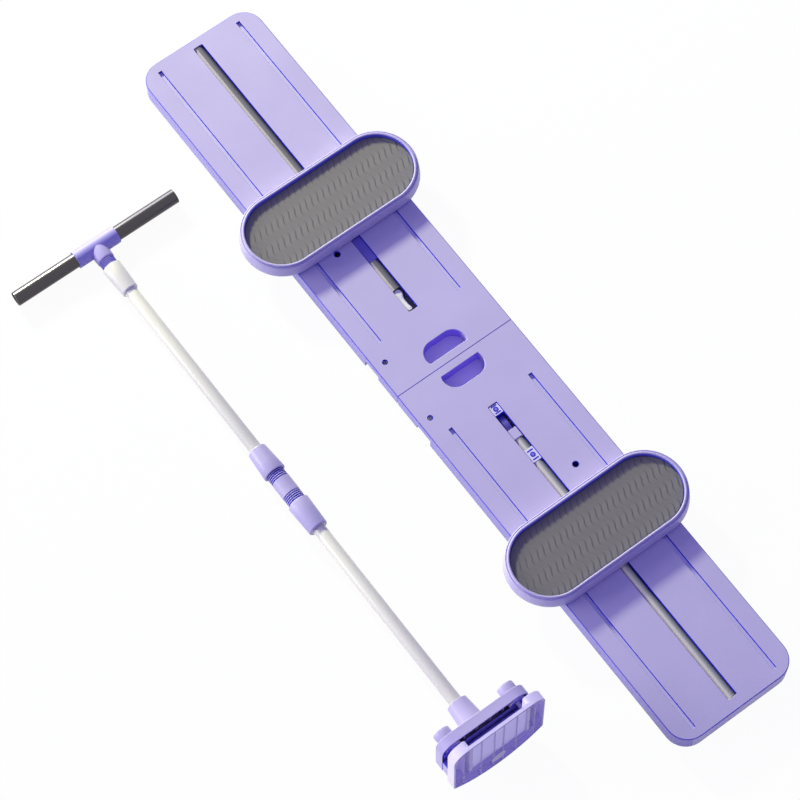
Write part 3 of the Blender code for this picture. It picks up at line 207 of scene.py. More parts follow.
def foamRubber(name, colour, centreX):
    # the wave lines: painted shade where each ridge drops to the next, stronger on the stretches where the wave
    # slopes one way
    material, tree, shader = newMaterial(name, colour, 0.85)
    maths = partial(calculate, tree)
    place = objectPlace(tree, location=(-centreX, -board["middleY"], 0.0))
    parts = addNode(tree, "ShaderNodeSeparateXYZ", {"Vector": place}).outputs
    angle = maths("MULTIPLY", parts["X"], 2 * math.pi / foamLook["swayLength"])
    sway = maths("MULTIPLY", maths("SINE", angle), foamLook["sway"])
    phase = maths("DIVIDE", maths("SUBTRACT", parts["Y"], sway), foamLook["pitch"])
    crease = remap(tree, maths("FRACT", phase), 0.90, 0.97, 0.0, 1.0)
    lean = remap(tree, maths("COSINE", angle), -1.0, 0.9, 1.0, 0.4)
    speckle = noise(tree, place, foamLook["grain"])
    base = mixColours(tree, speckle, scaled(colour, 0.94), scaled(colour, 1.06))
    shadedCrease = scaled(colour, foamLook["creaseShade"])
    shades = mixColours(tree, maths("MULTIPLY", crease, lean), base, shadedCrease)
    tree.links.new(shades, shader.inputs["Base Color"])
    bump(tree, shader, speckle, 0.15, 0.0003)
    return material


# each moulded plastic's red, green, blue and roughness
plastics = {
    "lilacSatin": (188, 179, 214, 0.42),
    "clampLilac": (182, 173, 210, 0.38),
    "nutLilac": (180, 171, 210, 0.4),
    "teeLilac": (163, 154, 216, 0.5),
    "neckLilac": (176, 166, 214, 0.4),
    "grooveFloorLitLilac": (212, 203, 234, 0.45),
    "wallShadeLilac": (158, 150, 204, 0.5),
    "edgeShadeLilac": (92, 86, 205, 0.5),
    "paleLilacAndHighlight": (222, 217, 240, 0.35),
    "ribLitLilac": (232, 222, 252, 0.4),
    "slotShadeLilac": (120, 108, 218, 0.5),
    "innerRimShadeLilac": (98, 100, 220, 0.5),
    "gripFloorLitLilac": (214, 203, 238, 0.5),
    "gripWallShadeLilac": (156, 134, 238, 0.5),
    "creaseShadeLilac": (40, 34, 190, 0.85),
    "recessShadeLilac": (52, 52, 228, 0.6),
    "innerLilac": (104, 92, 190, 0.5),
    "ivoryPlastic": (227, 225, 212, 0.35),
    "clipWhiteAndHighlight": (248, 247, 242, 0.35),
}
materials = {name: mouldedPlastic(name, srgb(*look[:3]), look[3]) for name, look in plastics.items()}
materials |= {
    "rubber": blackRubber("blackRubber", (0.018, 0.018, 0.019)),
    "rodA": sideLitRod("steelRodSideLitA", (-0.0052, -0.0022), (0.115, 0.108, 0.135)),
    "rodB": sideLitRod("steelRodSideLitB", (-0.0068, 0.0012), (0.25, 0.25, 0.27)),
    "steel": brushedMetal("steelPins", (0.55, 0.55, 0.56), 0.3, "Y"),
    "crossbar": brushedMetal("gunmetalCrossbar", (0.074, 0.069, 0.078), 0.24, "Y"),
    "screw": brushedMetal("screwHead", (0.16, 0.15, 0.17), 0.3, "Z"),
    "tube": paintedMetal("whiteTube", srgb(222, 220, 206)),
}
print("materials made:", len(materials))


def addPiece(name, mesh, material, smoothAngle=35.0):
    mesh.materials.clear()
    mesh.materials.append(material)
    mesh.shade_smooth()
    mesh.set_sharp_from_angle(angle=math.radians(smoothAngle))
    return addObject(name, mesh)


def dress(piece, node, body):
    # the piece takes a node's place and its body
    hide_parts(node)
    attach(piece, body)
    return piece


def paintFaces(piece, look, rule):
    # gives a second material to the faces that the rule picks by their centre and direction
    mesh = piece.data
    mesh.materials.append(materials[look])
    number = len(mesh.materials) - 1
    for face in mesh.polygons:
        if rule(face.center, face.normal):
            face.material_index = number


def alongPole(point):
    return (poleInverse @ point).x


def offAxis(point):
    local = poleInverse @ point
    return math.hypot(local.y, local.z)


def gridMesh(name, rows, closedRows, closedColumns):
    # rows of points, joined to a skin of quads
    mesh = bpy.data.meshes.new(name)
    shape = bmesh.new()
    points = [[shape.verts.new(p) for p in row] for row in rows]
    rowCount, columnCount = len(points), len(points[0])
    for i in range(rowCount if closedRows else rowCount - 1):
        for j in range(columnCount if closedColumns else columnCount - 1):
            a, b = points[i], points[(i + 1) % rowCount]
            shape.faces.new([a[j], a[(j + 1) % columnCount], b[(j + 1) % columnCount], b[j]])
    bmesh.ops.remove_doubles(shape, verts=shape.verts, dist=1e-7)
    bmesh.ops.recalc_face_normals(shape, faces=shape.faces)
    shape.to_mesh(mesh)
    shape.free()
    return mesh


def latheMesh(name, profile, segments=64, closed=True):
    # a profile of (place along X, radius), turned about X; it starts and ends on the axis unless closed
    rows = []
    for step in range(segments):
        angle = 2 * math.pi * step / segments
        rows.append([(x, r * math.cos(angle), r * math.sin(angle)) for x, r in profile])
    return gridMesh(name, rows, True, closed)


def rounded(profile, radius, steps=4):
    # rounds every corner of a closed profile, as far as its sides allow
    points = []
    count = len(profile)
    for i, corner in enumerate(profile):
        here = Vector(corner)
        back = Vector(profile[i - 1]) - here
        ahead = Vector(profile[(i + 1) % count]) - here
        reach = min(radius, back.length * 0.45, ahead.length * 0.45)
        start = here + back.normalized() * reach
        end = here + ahead.normalized() * reach
        for step in range(steps + 1):
            t = step / steps
            points.append(tuple(start * (1 - t) ** 2 + here * 2 * t * (1 - t) + end * t**2))
    return points


# lengths in metres; an edge is sharp if the cosine between its sides' directions is below the last value
softening = {"weld": 2e-6, "shortest": 1e-6, "flatness": 4e-6, "sliver": 1e-9, "sameWay": 0.999, "sharp": 0.83}


def flatPatches(shape):
    # groups the faces that lie in one plane, from the largest down
    patches, planes = {}, []
    for seed in sorted(shape.faces, key=lambda f: -f.calc_area()):
        if seed in patches:
            continue
        normal, origin = seed.normal.copy(), seed.verts[0].co.copy()
        number = len(planes)
        planes.append(normal)
        patches[seed] = number
        stack = [seed]
        while stack:
            for edge in stack.pop().edges:
                for face in edge.link_faces:
                    if face in patches:
                        continue
                    lies = all(abs((v.co - origin).dot(normal)) < softening["flatness"] for v in face.verts)
                    alike = face.normal.dot(normal) > softening["sameWay"] or face.calc_area() < softening["sliver"]
                    if lies and alike:
                        patches[face] = number
                        stack.append(face)
    return patches, planes


def fansRound(vert, patches):
    # the corners round a vertex, in order, cut into fans where the plane changes
    ring = [vert.link_loops[0]]
    while len(ring) <= 400:
        step = ring[-1].link_loop_prev.link_loop_radial_next
        if step is ring[0]:
            break
        ring.append(step)
    starts = [i for i, loop in enumerate(ring) if patches[loop.face] != patches[ring[i - 1].face]]
    fans = []
    for i, start in enumerate(starts):
        end = starts[(i + 1) % len(starts)]
        count = (end - start) % len(ring) or len(ring)
        fans.append([ring[(start + j) % len(ring)] for j in range(count)])
    return fans


def fanPlace(fan, vert, normal, offset):
    # where the fan's corner goes when its two outer edges move in by their widths
    rows = []
    for edge, way in ((fan[0].edge, 1), (fan[-1].link_loop_prev.edge, -1)):
        along = (edge.other_vert(vert).co - vert.co).normalized()
        rows.append((normal.cross(along) * way, along, offset.get(edge, 0.0)))
    (inFirst, alongFirst, reachFirst), (inSecond, alongSecond, reachSecond) = rows
    widest = max(reachFirst, reachSecond)
    if abs(inFirst.cross(inSecond).dot(normal)) < 0.05:  # the two edges run almost straight on
        shift = inFirst * widest
    else:
        shift = alongSecond * reachFirst / inFirst.dot(alongSecond)
        shift += alongFirst * reachSecond / inSecond.dot(alongFirst)
    if shift.length > 3 * widest > 0:
        shift *= 3 * widest / shift.length
    return vert.co + shift


def fanGroups(fans, offset):
    # fans that meet in a smooth edge share one point
    groups = []
    for i, fan in enumerate(fans):
        if i and fan[0].edge not in offset:
            groups[-1].append(i)
        else:
            groups.append([i])
    if len(groups) > 1 and fans[0][0].edge not in offset:
        groups[0] = groups.pop() + groups[0]
    return groups


def patchFills(sides, normal):
    # cuts the flat area inside these sides into triangles
    points = list({point: None for side in sides for point in side})
    order = {point: i for i, point in enumerate(points)}
    across = normal.orthogonal()
    up = normal.cross(across)
    flat = [Vector((p.co.dot(across), p.co.dot(up))) for p in points]
    edges = [(order[a], order[b]) for a, b in sides if a is not b]
    spots, ignored, triangles, origins, *ignored = delaunay_2d_cdt(flat, edges, [], 0, 1e-9)
    names = [points[o[0]] if o else None for o in origins]
    fills = []
    for triangle in triangles:
        middle = sum((spots[i] for i in triangle), Vector((0, 0))) / 3
        inside = False
        for i, j in edges:
            a, b = flat[i], flat[j]
            if (a.y > middle.y) != (b.y > middle.y):
                if middle.x < a.x + (middle.y - a.y) * (b.x - a.x) / (b.y - a.y):
                    inside = not inside
        if inside and None not in [names[i] for i in triangle]:
            fills.append([names[i] for i in triangle])
    return fills


def softEdges(node, look, width, edgeShare=None):
    # the node's own shape, with a soft edge of this width wherever two of its sides meet sharply
    source = bmesh.new()
    source.from_mesh(nodes[node].data)
    bmesh.ops.remove_doubles(source, verts=source.verts, dist=softening["weld"])
    bmesh.ops.dissolve_degenerate(source, dist=softening["shortest"], edges=source.edges)
    bmesh.ops.triangulate(source, faces=source.faces)
    patches, planes = flatPatches(source)
    offset = {}
    for edge in source.edges:
        first, second = (patches[face] for face in edge.link_faces)
        if first != second and planes[first].dot(planes[second]) < softening["sharp"]:
            offset[edge] = width * (edgeShare(edge) if edgeShare else 1.0)

    target = bmesh.new()
    low = [min(vert.co[axis] for vert in source.verts) for axis in range(3)]
    high = [max(vert.co[axis] for vert in source.verts) for axis in range(3)]
    corner, normals, fills = {}, [], []
    for vert in source.verts:
        fans = fansRound(vert, patches)
        if not fans:
            continue
        places = [fanPlace(fan, vert, planes[patches[fan[0].face]], offset) for fan in fans]
        made = []
        for group in fanGroups(fans, offset):
            place = sum((places[i] for i in group), Vector()) / len(group)
            loops = [loop for i in group for loop in fans[i]]
            normal = sum((planes[patches[loop.face]] * loop.calc_angle() for loop in loops), Vector())
            point = target.verts.new([min(max(place[axis], low[axis]), high[axis]) for axis in range(3)])
            normals.append(normal.normalized())
            made.append(point)
            corner.update(dict.fromkeys(loops, point))
        if len(made) > 2:
            fills.append(made[::-1])
    target.verts.index_update()

    outlines = {}
    for face in source.faces:
        for loop in face.loops:
            other = loop.link_loop_radial_next
            if patches[other.face] != patches[face]:
                start, end = corner[loop], corner[loop.link_loop_next]
                outlines.setdefault(patches[face], []).append((start, end))
                if offset.pop(loop.edge, None) is not None:
                    fills.append([end, start, corner[other.link_loop_next], corner[other]])
    for number, sides in outlines.items():
        fills += patchFills(sides, planes[number])
    strays = 0
    for fill in fills:
        ring = [p for i, p in enumerate(fill) if p is not fill[i - 1]]
        if len(set(ring)) > 2:
            try:
                target.faces.new(ring)
            except ValueError:
                strays += 1
    loose = [edge for edge in target.edges if len(edge.link_faces) == 1]
    bmesh.ops.holes_fill(target, edges=loose, sides=0)
    for face in target.faces:
        face.normal_update()
        if face.normal.dot(sum((normals[vert.index] for vert in face.verts), Vector())) < 0:
            face.normal_flip()
    openEdges = sum(len(edge.link_faces) != 2 for edge in target.edges)
    if openEdges:
        print("check", node, "strays", strays, "open edges", openEdges)
    mesh = bpy.data.meshes.new(node + "_finish")
    target.to_mesh(mesh)
    source.free()
    target.free()
    mesh.materials.append(materials[look])
    mesh.shade_smooth()
    mesh.normals_split_custom_set_from_vertices(normals)
    return addObject(node + "_finish", mesh)


def newTree(name, sizes):
    # a Geometry Nodes tree with these sizes as its named inputs
    tree = bpy.data.node_groups.new(name, "GeometryNodeTree")
    tree.interface.new_socket("Geometry", in_out="INPUT", socket_type="NodeSocketGeometry")
    for label, value in sizes.items():
        kind = "NodeSocketInt" if isinstance(value, int) else "NodeSocketFloat"
        tree.interface.new_socket(label, in_out="INPUT", socket_type=kind)
    tree.interface.new_socket("Geometry", in_out="OUTPUT", socket_type="NodeSocketGeometry")
    return tree, tree.nodes.new("NodeGroupInput").outputs


def finishTree(tree, geometry, material):
    realised = addNode(tree, "GeometryNodeRealizeInstances", {"Geometry": geometry}).outputs[0]
    painted = addNode(tree, "GeometryNodeSetMaterial", {"Geometry": realised, "Material": material})
    addNode(tree, "NodeGroupOutput", {"Geometry": painted.outputs[0]})
    return tree


def combine(tree, **parts):
    return addNode(tree, "ShaderNodeCombineXYZ", parts).outputs[0]


def positionParts(tree):
    place = addNode(tree, "GeometryNodeInputPosition").outputs[0]
    return addNode(tree, "ShaderNodeSeparateXYZ", {"Vector": place}).outputs


def join(tree, *parts):
    node = addNode(tree, "GeometryNodeJoinGeometry")
    for part in parts:
        tree.links.new(part, node.inputs[0])
    return node.outputs[0]


def lineOf(tree, count, start, step, shape, rotation=(0.0, 0.0, 0.0)):
    # copies of a shape, side by side along X
    inputs = {"Count": count, "Start Location": combine(tree, X=start), "Offset": combine(tree, X=step)}
    line = addNode(tree, "GeometryNodeMeshLine", inputs).outputs["Mesh"]
    inputs = {"Points": line, "Instance": shape, "Rotation": rotation}
    return addNode(tree, "GeometryNodeInstanceOnPoints", inputs).outputs["Instances"]


def growPiece(name, tree, sizes, material, matrix, smoothAngle):
    # runs the tree on an empty mesh and keeps its result as a plain mesh
    holder = addObject(name + "Seed", bpy.data.meshes.new(name + "Seed"))
    grow = holder.modifiers.new("grow", "NODES")
    grow.node_group = tree
    for item in tree.interface.items_tree:
        if item.item_type == "SOCKET" and item.in_out == "INPUT" and item.name in sizes:
            grow[item.identifier] = sizes[item.name]
    bpy.context.view_layer.update()
    graph = bpy.context.evaluated_depsgraph_get()
    mesh = bpy.data.meshes.new_from_object(holder.evaluated_get(graph), depsgraph=graph)
    bpy.data.objects.remove(holder, do_unlink=True)
    mesh.transform(matrix)
    mesh.name = name
    return addPiece(name, mesh, material, smoothAngle)


# the foot plates: the length of their straight side, radii from their spine and heights
plate = {
    "centreX": {"a": -0.296, "b": 0.322},
    "foamColour": {"a": (122, 119, 115), "b": (115, 112, 109)},
    "steps": 72,
    "straight": 0.0829,
    "outer": 0.0610,
    "inner": 0.0539,
    "foot": 0.0352,
    "floorUnder": 0.0444,
    "floor": 0.0461,
    "padUnder": 0.0464,
    "top": 0.0580,
}
# the radius and the height that each run of the tray's profile starts from, and its steps from there
trayRuns = [
    ("outer", "foot", [(-0.0030, 0), (0.0016, 0), (0.0019, 0.0008), (0.0012, 0.0080), (0.0003, 0.0150)]),
    ("outer", "top", [(-0.0001, -0.0042), (-0.0003, -0.0030), (-0.0009, -0.0023), (-0.0015, -0.0022)]),
    ("outer", "top", [(-0.0019, -0.0026), (-0.0030, -0.0027), (-0.0033, -0.0025), (-0.0034, -0.0010)]),
    ("outer", "top", [(-0.0038, -0.0003), (-0.0046, 0), (-0.0058, 0), (-0.0065, -0.0004), (-0.0069, -0.0012)]),
    ("inner", "top", [(0.0002, -0.0042)]),
    ("inner", "floor", [(0, 0.0006), (-0.0006, 0), (-plate["inner"] / 2, 0), (-plate["inner"], 0)]),
    ("outer", "floorUnder", [(-plate["outer"], 0), (-0.0034, 0), (-0.0030, -0.0006)]),
]


def stadiumPoint(radius, step):
    # a point round the plate, at this distance from its spine
    half = plate["steps"] // 2
    isFar = step > half
    angle = math.pi * (step - isFar) / half
    side = -plate["straight"] if isFar else plate["straight"]
    return radius * math.cos(angle), side + radius * math.sin(angle)


def makeTray(half):
    name, centre = "tray_" + half, plate["centreX"][half]
    profile = [(plate[r] + stepR, plate[z] + stepZ) for r, z, steps in trayRuns for stepR, stepZ in steps]
    rows = []
    for step in range(plate["steps"] + 2):
        points = [(*stadiumPoint(radius, step), z) for radius, z in profile]
        rows.append([(centre + x, board["middleY"] + y, z) for x, y, z in points])

    def isInnerWall(c, n):
        y = c.y - board["middleY"]
        spineY = max(-plate["straight"], min(plate["straight"], y))
        inward = Vector((centre - c.x, spineY - y, 0))
        return plate["floor"] < c.z < plate["top"] - 0.002 and n.dot(inward) > 0.5 * inward.length

    mesh = gridMesh(name + "_finish", rows, True, True)
    tray = addPiece(name + "_finish", mesh, materials["lilacSatin"], 50.0)
    # painted shadow along the skirt's foot where it meets the deck, painted shade on the tray's inner walls
    paintFaces(tray, "recessShadeLilac", lambda c, n: c.z < plate["foot"] + 0.0009)
    paintFaces(tray, "innerRimShadeLilac", isInnerWall)
    dress(tray, name, "plate_" + half)


padSizes = {
    "Radius": 0.0535,
    "Straight": plate["straight"],
    "Thickness": 0.0047,
    "Pitch": foamLook["pitch"],
    "Sway": foamLook["sway"],
    "Sway Length": foamLook["swayLength"],
    "Ridge": 0.0006,
    "Edge Drop": 0.0009,
    "Columns": 96,
    "Rows": 380,
}
padShape = {"climb": 0.86, "sideFall": 60.0, "tipFall": 160.0}  # share of a wave, powers of the edge's fall


def padTree(material):
    # a grid drawn into the plate's outline, thickened, with sawtooth waves across its top
    tree, size = newTree("wavePad", padSizes)
    maths = partial(calculate, tree)
    inputs = {"Size X": 2.0, "Size Y": 2.0, "Vertices X": size["Columns"], "Vertices Y": size["Rows"]}
    grid = addNode(tree, "GeometryNodeMeshGrid", inputs).outputs["Mesh"]
    flat = positionParts(tree)
    y = maths("MULTIPLY", flat["Y"], maths("ADD", size["Radius"], size["Straight"]))
    beyond = maths("MAXIMUM", maths("SUBTRACT", maths("ABSOLUTE", y), size["Straight"]), 0.0)
    share = maths("DIVIDE", beyond, size["Radius"])
    rest = maths("MAXIMUM", maths("SUBTRACT", 1.0, maths("MULTIPLY", share, share)), 0.0)
    wide = maths("MULTIPLY", maths("SQRT", rest), size["Radius"])
    outline = combine(tree, X=maths("MULTIPLY", flat["X"], wide), Y=y)
    # the edge's fall is kept from the grid's own coordinates
    nearSide = maths("POWER", maths("ABSOLUTE", flat["X"]), padShape["sideFall"])
    nearTip = maths("POWER", maths("ABSOLUTE", flat["Y"]), padShape["tipFall"])
    inputs = {"Geometry": grid, "Name": "edgeFall", "Value": maths("MAXIMUM", nearSide, nearTip)}
    edge = addNode(tree, "GeometryNodeStoreNamedAttribute", inputs).outputs["Geometry"]
    drawn = addNode(tree, "GeometryNodeSetPosition", {"Geometry": edge, "Position": outline}).outputs[0]

    inputs = {"Mesh": drawn, "Offset": combine(tree, Z=size["Thickness"]), "Individual": False}
    thick = addNode(tree, "GeometryNodeExtrudeMesh", inputs).outputs["Mesh"]
    under = addNode(tree, "GeometryNodeFlipFaces", {"Mesh": drawn}).outputs["Mesh"]
    inputs = {"Geometry": join(tree, under, thick), "Distance": 1e-6}
    welded = addNode(tree, "GeometryNodeMergeByDistance", inputs).outputs["Geometry"]

    at = positionParts(tree)
    angle = maths("DIVIDE", maths("MULTIPLY", at["X"], 2 * math.pi), size["Sway Length"])
    sway = maths("MULTIPLY", maths("SINE", angle), size["Sway"])
    climb = maths("FRACT", maths("DIVIDE", maths("SUBTRACT", at["Y"], sway), size["Pitch"]))
    drop = maths("DIVIDE", maths("SUBTRACT", 1.0, climb), 1 - padShape["climb"])
    wave = maths("MINIMUM", maths("DIVIDE", climb, padShape["climb"]), drop)
    lower = maths("MULTIPLY", maths("SUBTRACT", wave, 1.0), size["Ridge"])
    fall = addNode(tree, "GeometryNodeInputNamedAttribute", {"Name": "edgeFall"}, data_type="FLOAT")
    edgeDrop = maths("MULTIPLY", fall.outputs["Attribute"], size["Edge Drop"])
    inputs = {
        "Geometry": welded,
        "Selection": maths("GREATER_THAN", at["Z"], maths("MULTIPLY", size["Thickness"], 0.5)),
        "Offset": combine(tree, Z=maths("SUBTRACT", lower, edgeDrop)),
    }
    rippled = addNode(tree, "GeometryNodeSetPosition", inputs).outputs["Geometry"]
    return finishTree(tree, rippled, material)


def makePad(half):
    name, centre = "pad_" + half, plate["centreX"][half]
    material = foamRubber("waveFoam" + half.upper(), srgb(*plate["foamColour"][half]), centre)
    place = Matrix.Translation((centre, board["middleY"], plate["padUnder"]))
    pad = growPiece(name + "_waves", padTree(material), padSizes, material, place, 60.0)
    dress(pad, name, "plate_" + half)


for half in ("a", "b"):
    makeTray(half)
    makePad(half)
print("foot plates made")


# widths of the soft edges, the centre of the board's round corners and how far out from there its wall begins
deck = {"outerEdge": 0.0012, "slotEdge": 0.0005, "holeEdge": 0.0009}
deck |= {"cornerX": 0.604, "cornerY": 0.068, "wall": 0.0295}
grooves = {"offCentre": 0.0697, "halfWidth": 0.0034, "start": 0.081, "end": 0.6215, "round": 0.0062, "floor": 0.029}
slot = {"halfWidth": 0.0085, "start": 0.087, "end": 0.624, "floor": 0.0285}
grip = {"start": 0.0115, "end": 0.0413, "middleY": 0.1458, "halfWidth": 0.0327, "floor": 0.0115, "rim": 0.0003}
holes = [(-0.0527, 0.0643), (0.0527, 0.0643), (-0.228, 0.1098), (0.228, 0.1838)]
holeRadius = 0.0058


def nearHole(point):
    return min(math.hypot(point.x - x, point.y - y) for x, y in holes) < holeRadius


def beyondCorners(point):
    x = abs(point.x) - deck["cornerX"]
    y = abs(point.y - board["middleY"]) - deck["cornerY"]
    return math.hypot(max(x, 0), max(y, 0))


def deckEdges(edge):
    # a full radius round the outside of the deck, a small one round its slots and holes
    middle = (edge.verts[0].co + edge.verts[1].co) / 2
    if beyondCorners(middle) > deck["wall"] + 0.001 and middle.z > board["deckTop"] - 0.0005:
        return 1.0
    return deck["holeEdge" if nearHole(middle) else "slotEdge"] / deck["outerEdge"]


def inGroove(c, n):
    across = abs(abs(c.y - board["middleY"]) - grooves["offCentre"])
    along = grooves["start"] < abs(c.x) < grooves["end"]
    return across < grooves["halfWidth"] and along and c.z < board["deckTop"] - 0.0003


def atGrooveEnd(c, n):
    nearEnd = min(abs(abs(c.x) - grooves[end]) for end in ("start", "end")) < grooves["round"]
    return inGroove(c, n) and nearEnd


def isOutside(c):
    return beyondCorners(c) > deck["wall"]


def isRecessWall(c, n):
    # the walls of the grooves and of the centre slot that face the pole, which get painted shade
    inSlot = abs(c.y - board["slotY"]) < slot["halfWidth"] and slot["start"] < abs(c.x) < slot["end"]
    return (inGroove(c, n) or inSlot) and n.y < -0.3 and c.z > slot["floor"]


def inGripArea(c, margin):
    along = grip["start"] < abs(c.x) < grip["end"] + margin
    return along and abs(c.y - grip["middleY"]) < grip["halfWidth"] + margin


def inGrip(c, n):
    return inGripArea(c, 0.0) and grip["floor"] < c.z < board["deckTop"] - 0.0006


def isGripRim(c, n):
    # the rims that face the key light, which get a painted highlight
    raised = c.z > board["deckTop"] - 0.0007
    return inGripArea(c, grip["rim"]) and raised and 0.3 < n.z < 0.97 and n.x < 0.1


# what each area of the deck looks like, painted shade and painted light among them; a later rule goes over an
# earlier one
deckRules = [
    # painted shade on the holes' walls
    ("creaseShadeLilac", lambda c, n: nearHole(c) and n.z < 0.95),
    # painted light on the grip floors, painted shade on their walls
    ("gripFloorLitLilac", inGrip),
    ("gripWallShadeLilac", lambda c, n: inGrip(c, n) and n.z < 0.9),
    ("paleLilacAndHighlight", isGripRim),
    ("edgeShadeLilac", lambda c, n: abs(c.x) < 0.001 and abs(n.x) > 0.2),  # painted shade in the seam between the halves
    # painted light on the groove floors, against the shade in the grooves
    ("grooveFloorLitLilac", lambda c, n: inGroove(c, n) and n.z > 0.9 and c.z > grooves["floor"]),
    ("recessShadeLilac", isRecessWall),
    # painted shade at the groove ends
    ("creaseShadeLilac", atGrooveEnd),
    # painted shade on the outside walls that face the pole
    ("wallShadeLilac", lambda c, n: isOutside(c) and n.z < 0.3 and n.y < -0.4 and c.z > 0.004),
    # painted shade along the deck's outer edge
    ("edgeShadeLilac", lambda c, n: isOutside(c) and 0.3 <= n.z < 0.97 and c.z > 0.03),
]
for half in ("a", "b"):
    top = softEdges("deck_" + half, "lilacSatin", deck["outerEdge"], deckEdges)
    for look, rule in deckRules:
        paintFaces(top, look, rule)
    dress(top, "deck_" + half, "half_" + half)
print("decks made")


# every other moulded piece keeps its shape, with softened edges: node, body, material, edge, slot
softened = [
    ("rod_stop_a", "half_a", "innerLilac", 0.0006, "lilac_plastic"),
    ("slot_bridge_b", "half_b", "lilacSatin", 0.0004, "lilac_plastic"),
    ("latch_tongue_b", "half_b", "innerLilac", 0.0008, "dark_lilac_plastic"),
    ("rod_saddle_inner_b", "half_b", "paleLilacAndHighlight", 0.0004, "lilac_plastic"),
    ("rod_saddle_mid_b", "half_b", "paleLilacAndHighlight", 0.0004, "lilac_plastic"),
    ("clamp_body", "pole", "clampLilac", 0.0008, "lilac_plastic"),
    ("tee_sleeve", "upper_pole", "teeLilac", 0.0004, "lilac_plastic"),
    ("hinge_link_left", "hinge_links", "steel", 0.0004, "polished_steel"),
    ("hinge_link_right", "hinge_links", "steel", 0.0004, "polished_steel"),
]
for half in ("a", "b"):
    softened += [
        ("rod_holder_outer_" + half, "half_" + half, "lilacSatin", 0.0004, "lilac_plastic"),
        ("base_" + half, "half_" + half, "lilacSatin", 0.0004, "lilac_plastic"),
        ("chassis_" + half, "plate_" + half, "innerLilac", 0.0005, "dark_lilac_plastic"),
        ("carriage_" + half, "plate_" + half, "innerLilac", 0.0004, "dark_lilac_plastic"),
        ("foot_strip_inner_" + half, "half_" + half, "rubber", 0.0006, "black_rubber"),
        ("foot_strip_outer_" + half, "half_" + half, "rubber", 0.0006, "black_rubber"),
    ]


# stretches along the pole, and how far they reach to both sides of it
clampSlot = {"start": 0.9178, "end": 0.9332, "halfWidth": 0.075}
clampCells = {"start": 0.9345, "end": 0.9475}
threadRoot = {"start": 0.0271, "end": 0.0394, "halfWidth": 0.0121}


def inStretch(c, stretch):
    isBeside = abs((poleInverse @ c).y) < stretch.get("halfWidth", 1.0)
    return stretch["start"] < alongPole(c) < stretch["end"] and isBeside


# the clamp's slot, whose faces get painted shade
def inClampSlot(c, n):
    return inStretch(c, clampSlot) and n.x * n.x + n.z * n.z > 0.05


def inClampCell(c, n):
    # the sunk floors and rib sides behind the horn plate's face, not the plate's back in the slot; painted light
    # makes them paler
    isBack = (poleInverse.to_3x3() @ n).x < -0.5
    return inStretch(c, clampCells) and not isBack


def isThreadRoot(c, n):
    return inStretch(c, threadRoot)


def isSteep(c, n):
    return n.z < 0.5


# painted light on the clamp's cells; painted shade in its slot, in the sleeve's thread roots and on the saddles'
# steep sides
softRules = {
    "clamp_body": [("ribLitLilac", inClampCell), ("slotShadeLilac", inClampSlot)],
    "tee_sleeve": [("creaseShadeLilac", isThreadRoot)],
    "rod_saddle_inner_b": [("recessShadeLilac", isSteep)],
    "rod_saddle_mid_b": [("recessShadeLilac", isSteep)],
}
for node, body, look, edge, slotName in softened:
    piece = softEdges(node, look, edge)
    for ruledLook, rule in softRules.get(node, ()):
        paintFaces(piece, ruledLook, rule)
    dress(piece, node, body)
print("moulded pieces softened:", len(softened))

# pieces that keep their CAD shape, by the start of their name
plainLooks = {"wheel_": "rubber", "crossbar_cap": "rubber", "tee_screw": "screw"}
plainLooks |= {"axle_": "steel", "hinge_pin_": "steel"}
for node in nodes:
    for start, look in plainLooks.items():
        if node.startswith(start):
            nodes[node].data.materials.clear()
            nodes[node].data.materials.append(materials[look])

# the white clip: place along the slot, centre across it, half width, height of its top
clipStations = [
    (-0.1345, 0.1446, 0.0030, 0.0),
    (-0.1338, 0.1446, 0.0054, 0.0),
    (-0.1315, 0.1446, 0.0066, 0.0),
    (-0.1280, 0.1445, 0.0068, 0.0),
    (-0.1250, 0.1442, 0.0065, 0.0),
    (-0.1225, 0.1436, 0.0057, -0.0002),
    (-0.1200, 0.1430, 0.0050, -0.0005),
    (-0.1150, 0.1425, 0.0046, -0.0006),
    (-0.1080, 0.1427, 0.0046, -0.0005),
    (-0.1030, 0.1431, 0.0050, -0.0003),
    (-0.0995, 0.1434, 0.0052, -0.0003),
    (-0.0985, 0.1434, 0.0046, -0.0005),
]
clipShape = {"steps": 24, "squareness": 0.6}


def makeClip():
    heights = [vert.co.z for vert in nodes["rod_clip_a"].data.vertices]
    low, high = min(heights), max(heights)
    count = clipShape["steps"]
    rows = []
    for x, y, half, drop in clipStations:
        middle, reach = (low + high + drop) / 2, (high - low + drop) / 2
        row = []
        for step in range(count):
            angle = 2 * math.pi * step / count
            ways = math.cos(angle), math.sin(angle)
            wide, tall = (math.copysign(abs(way) ** clipShape["squareness"], way) for way in ways)
            row.append((x, y + half * wide, middle + reach * tall))
        rows.append(row)
    first, last = ([tuple(sum(axis) / count for axis in zip(*row))] * count for row in (rows[0], rows[-1]))
    mesh = gridMesh("rod_clip_a_finish", [first, *rows, last], False, True)
    clip = addPiece("rod_clip_a_finish", mesh, materials["clipWhiteAndHighlight"], 50.0)
    dress(clip, "rod_clip_a", "half_a")


makeClip()

screwSizes = {
    "Washer": 0.0039,
    "Head": 0.0022,
    "Rise": 0.0004,
    "Spacing": 0.0070,
    "Slit Length": 0.0095,
    "Slit Width": 0.0019,
}
saddles = {"inner": {"x": 0.0965, "Spacing": 0.0055}, "mid": {"x": 0.1810, "Spacing": 0.0070}}


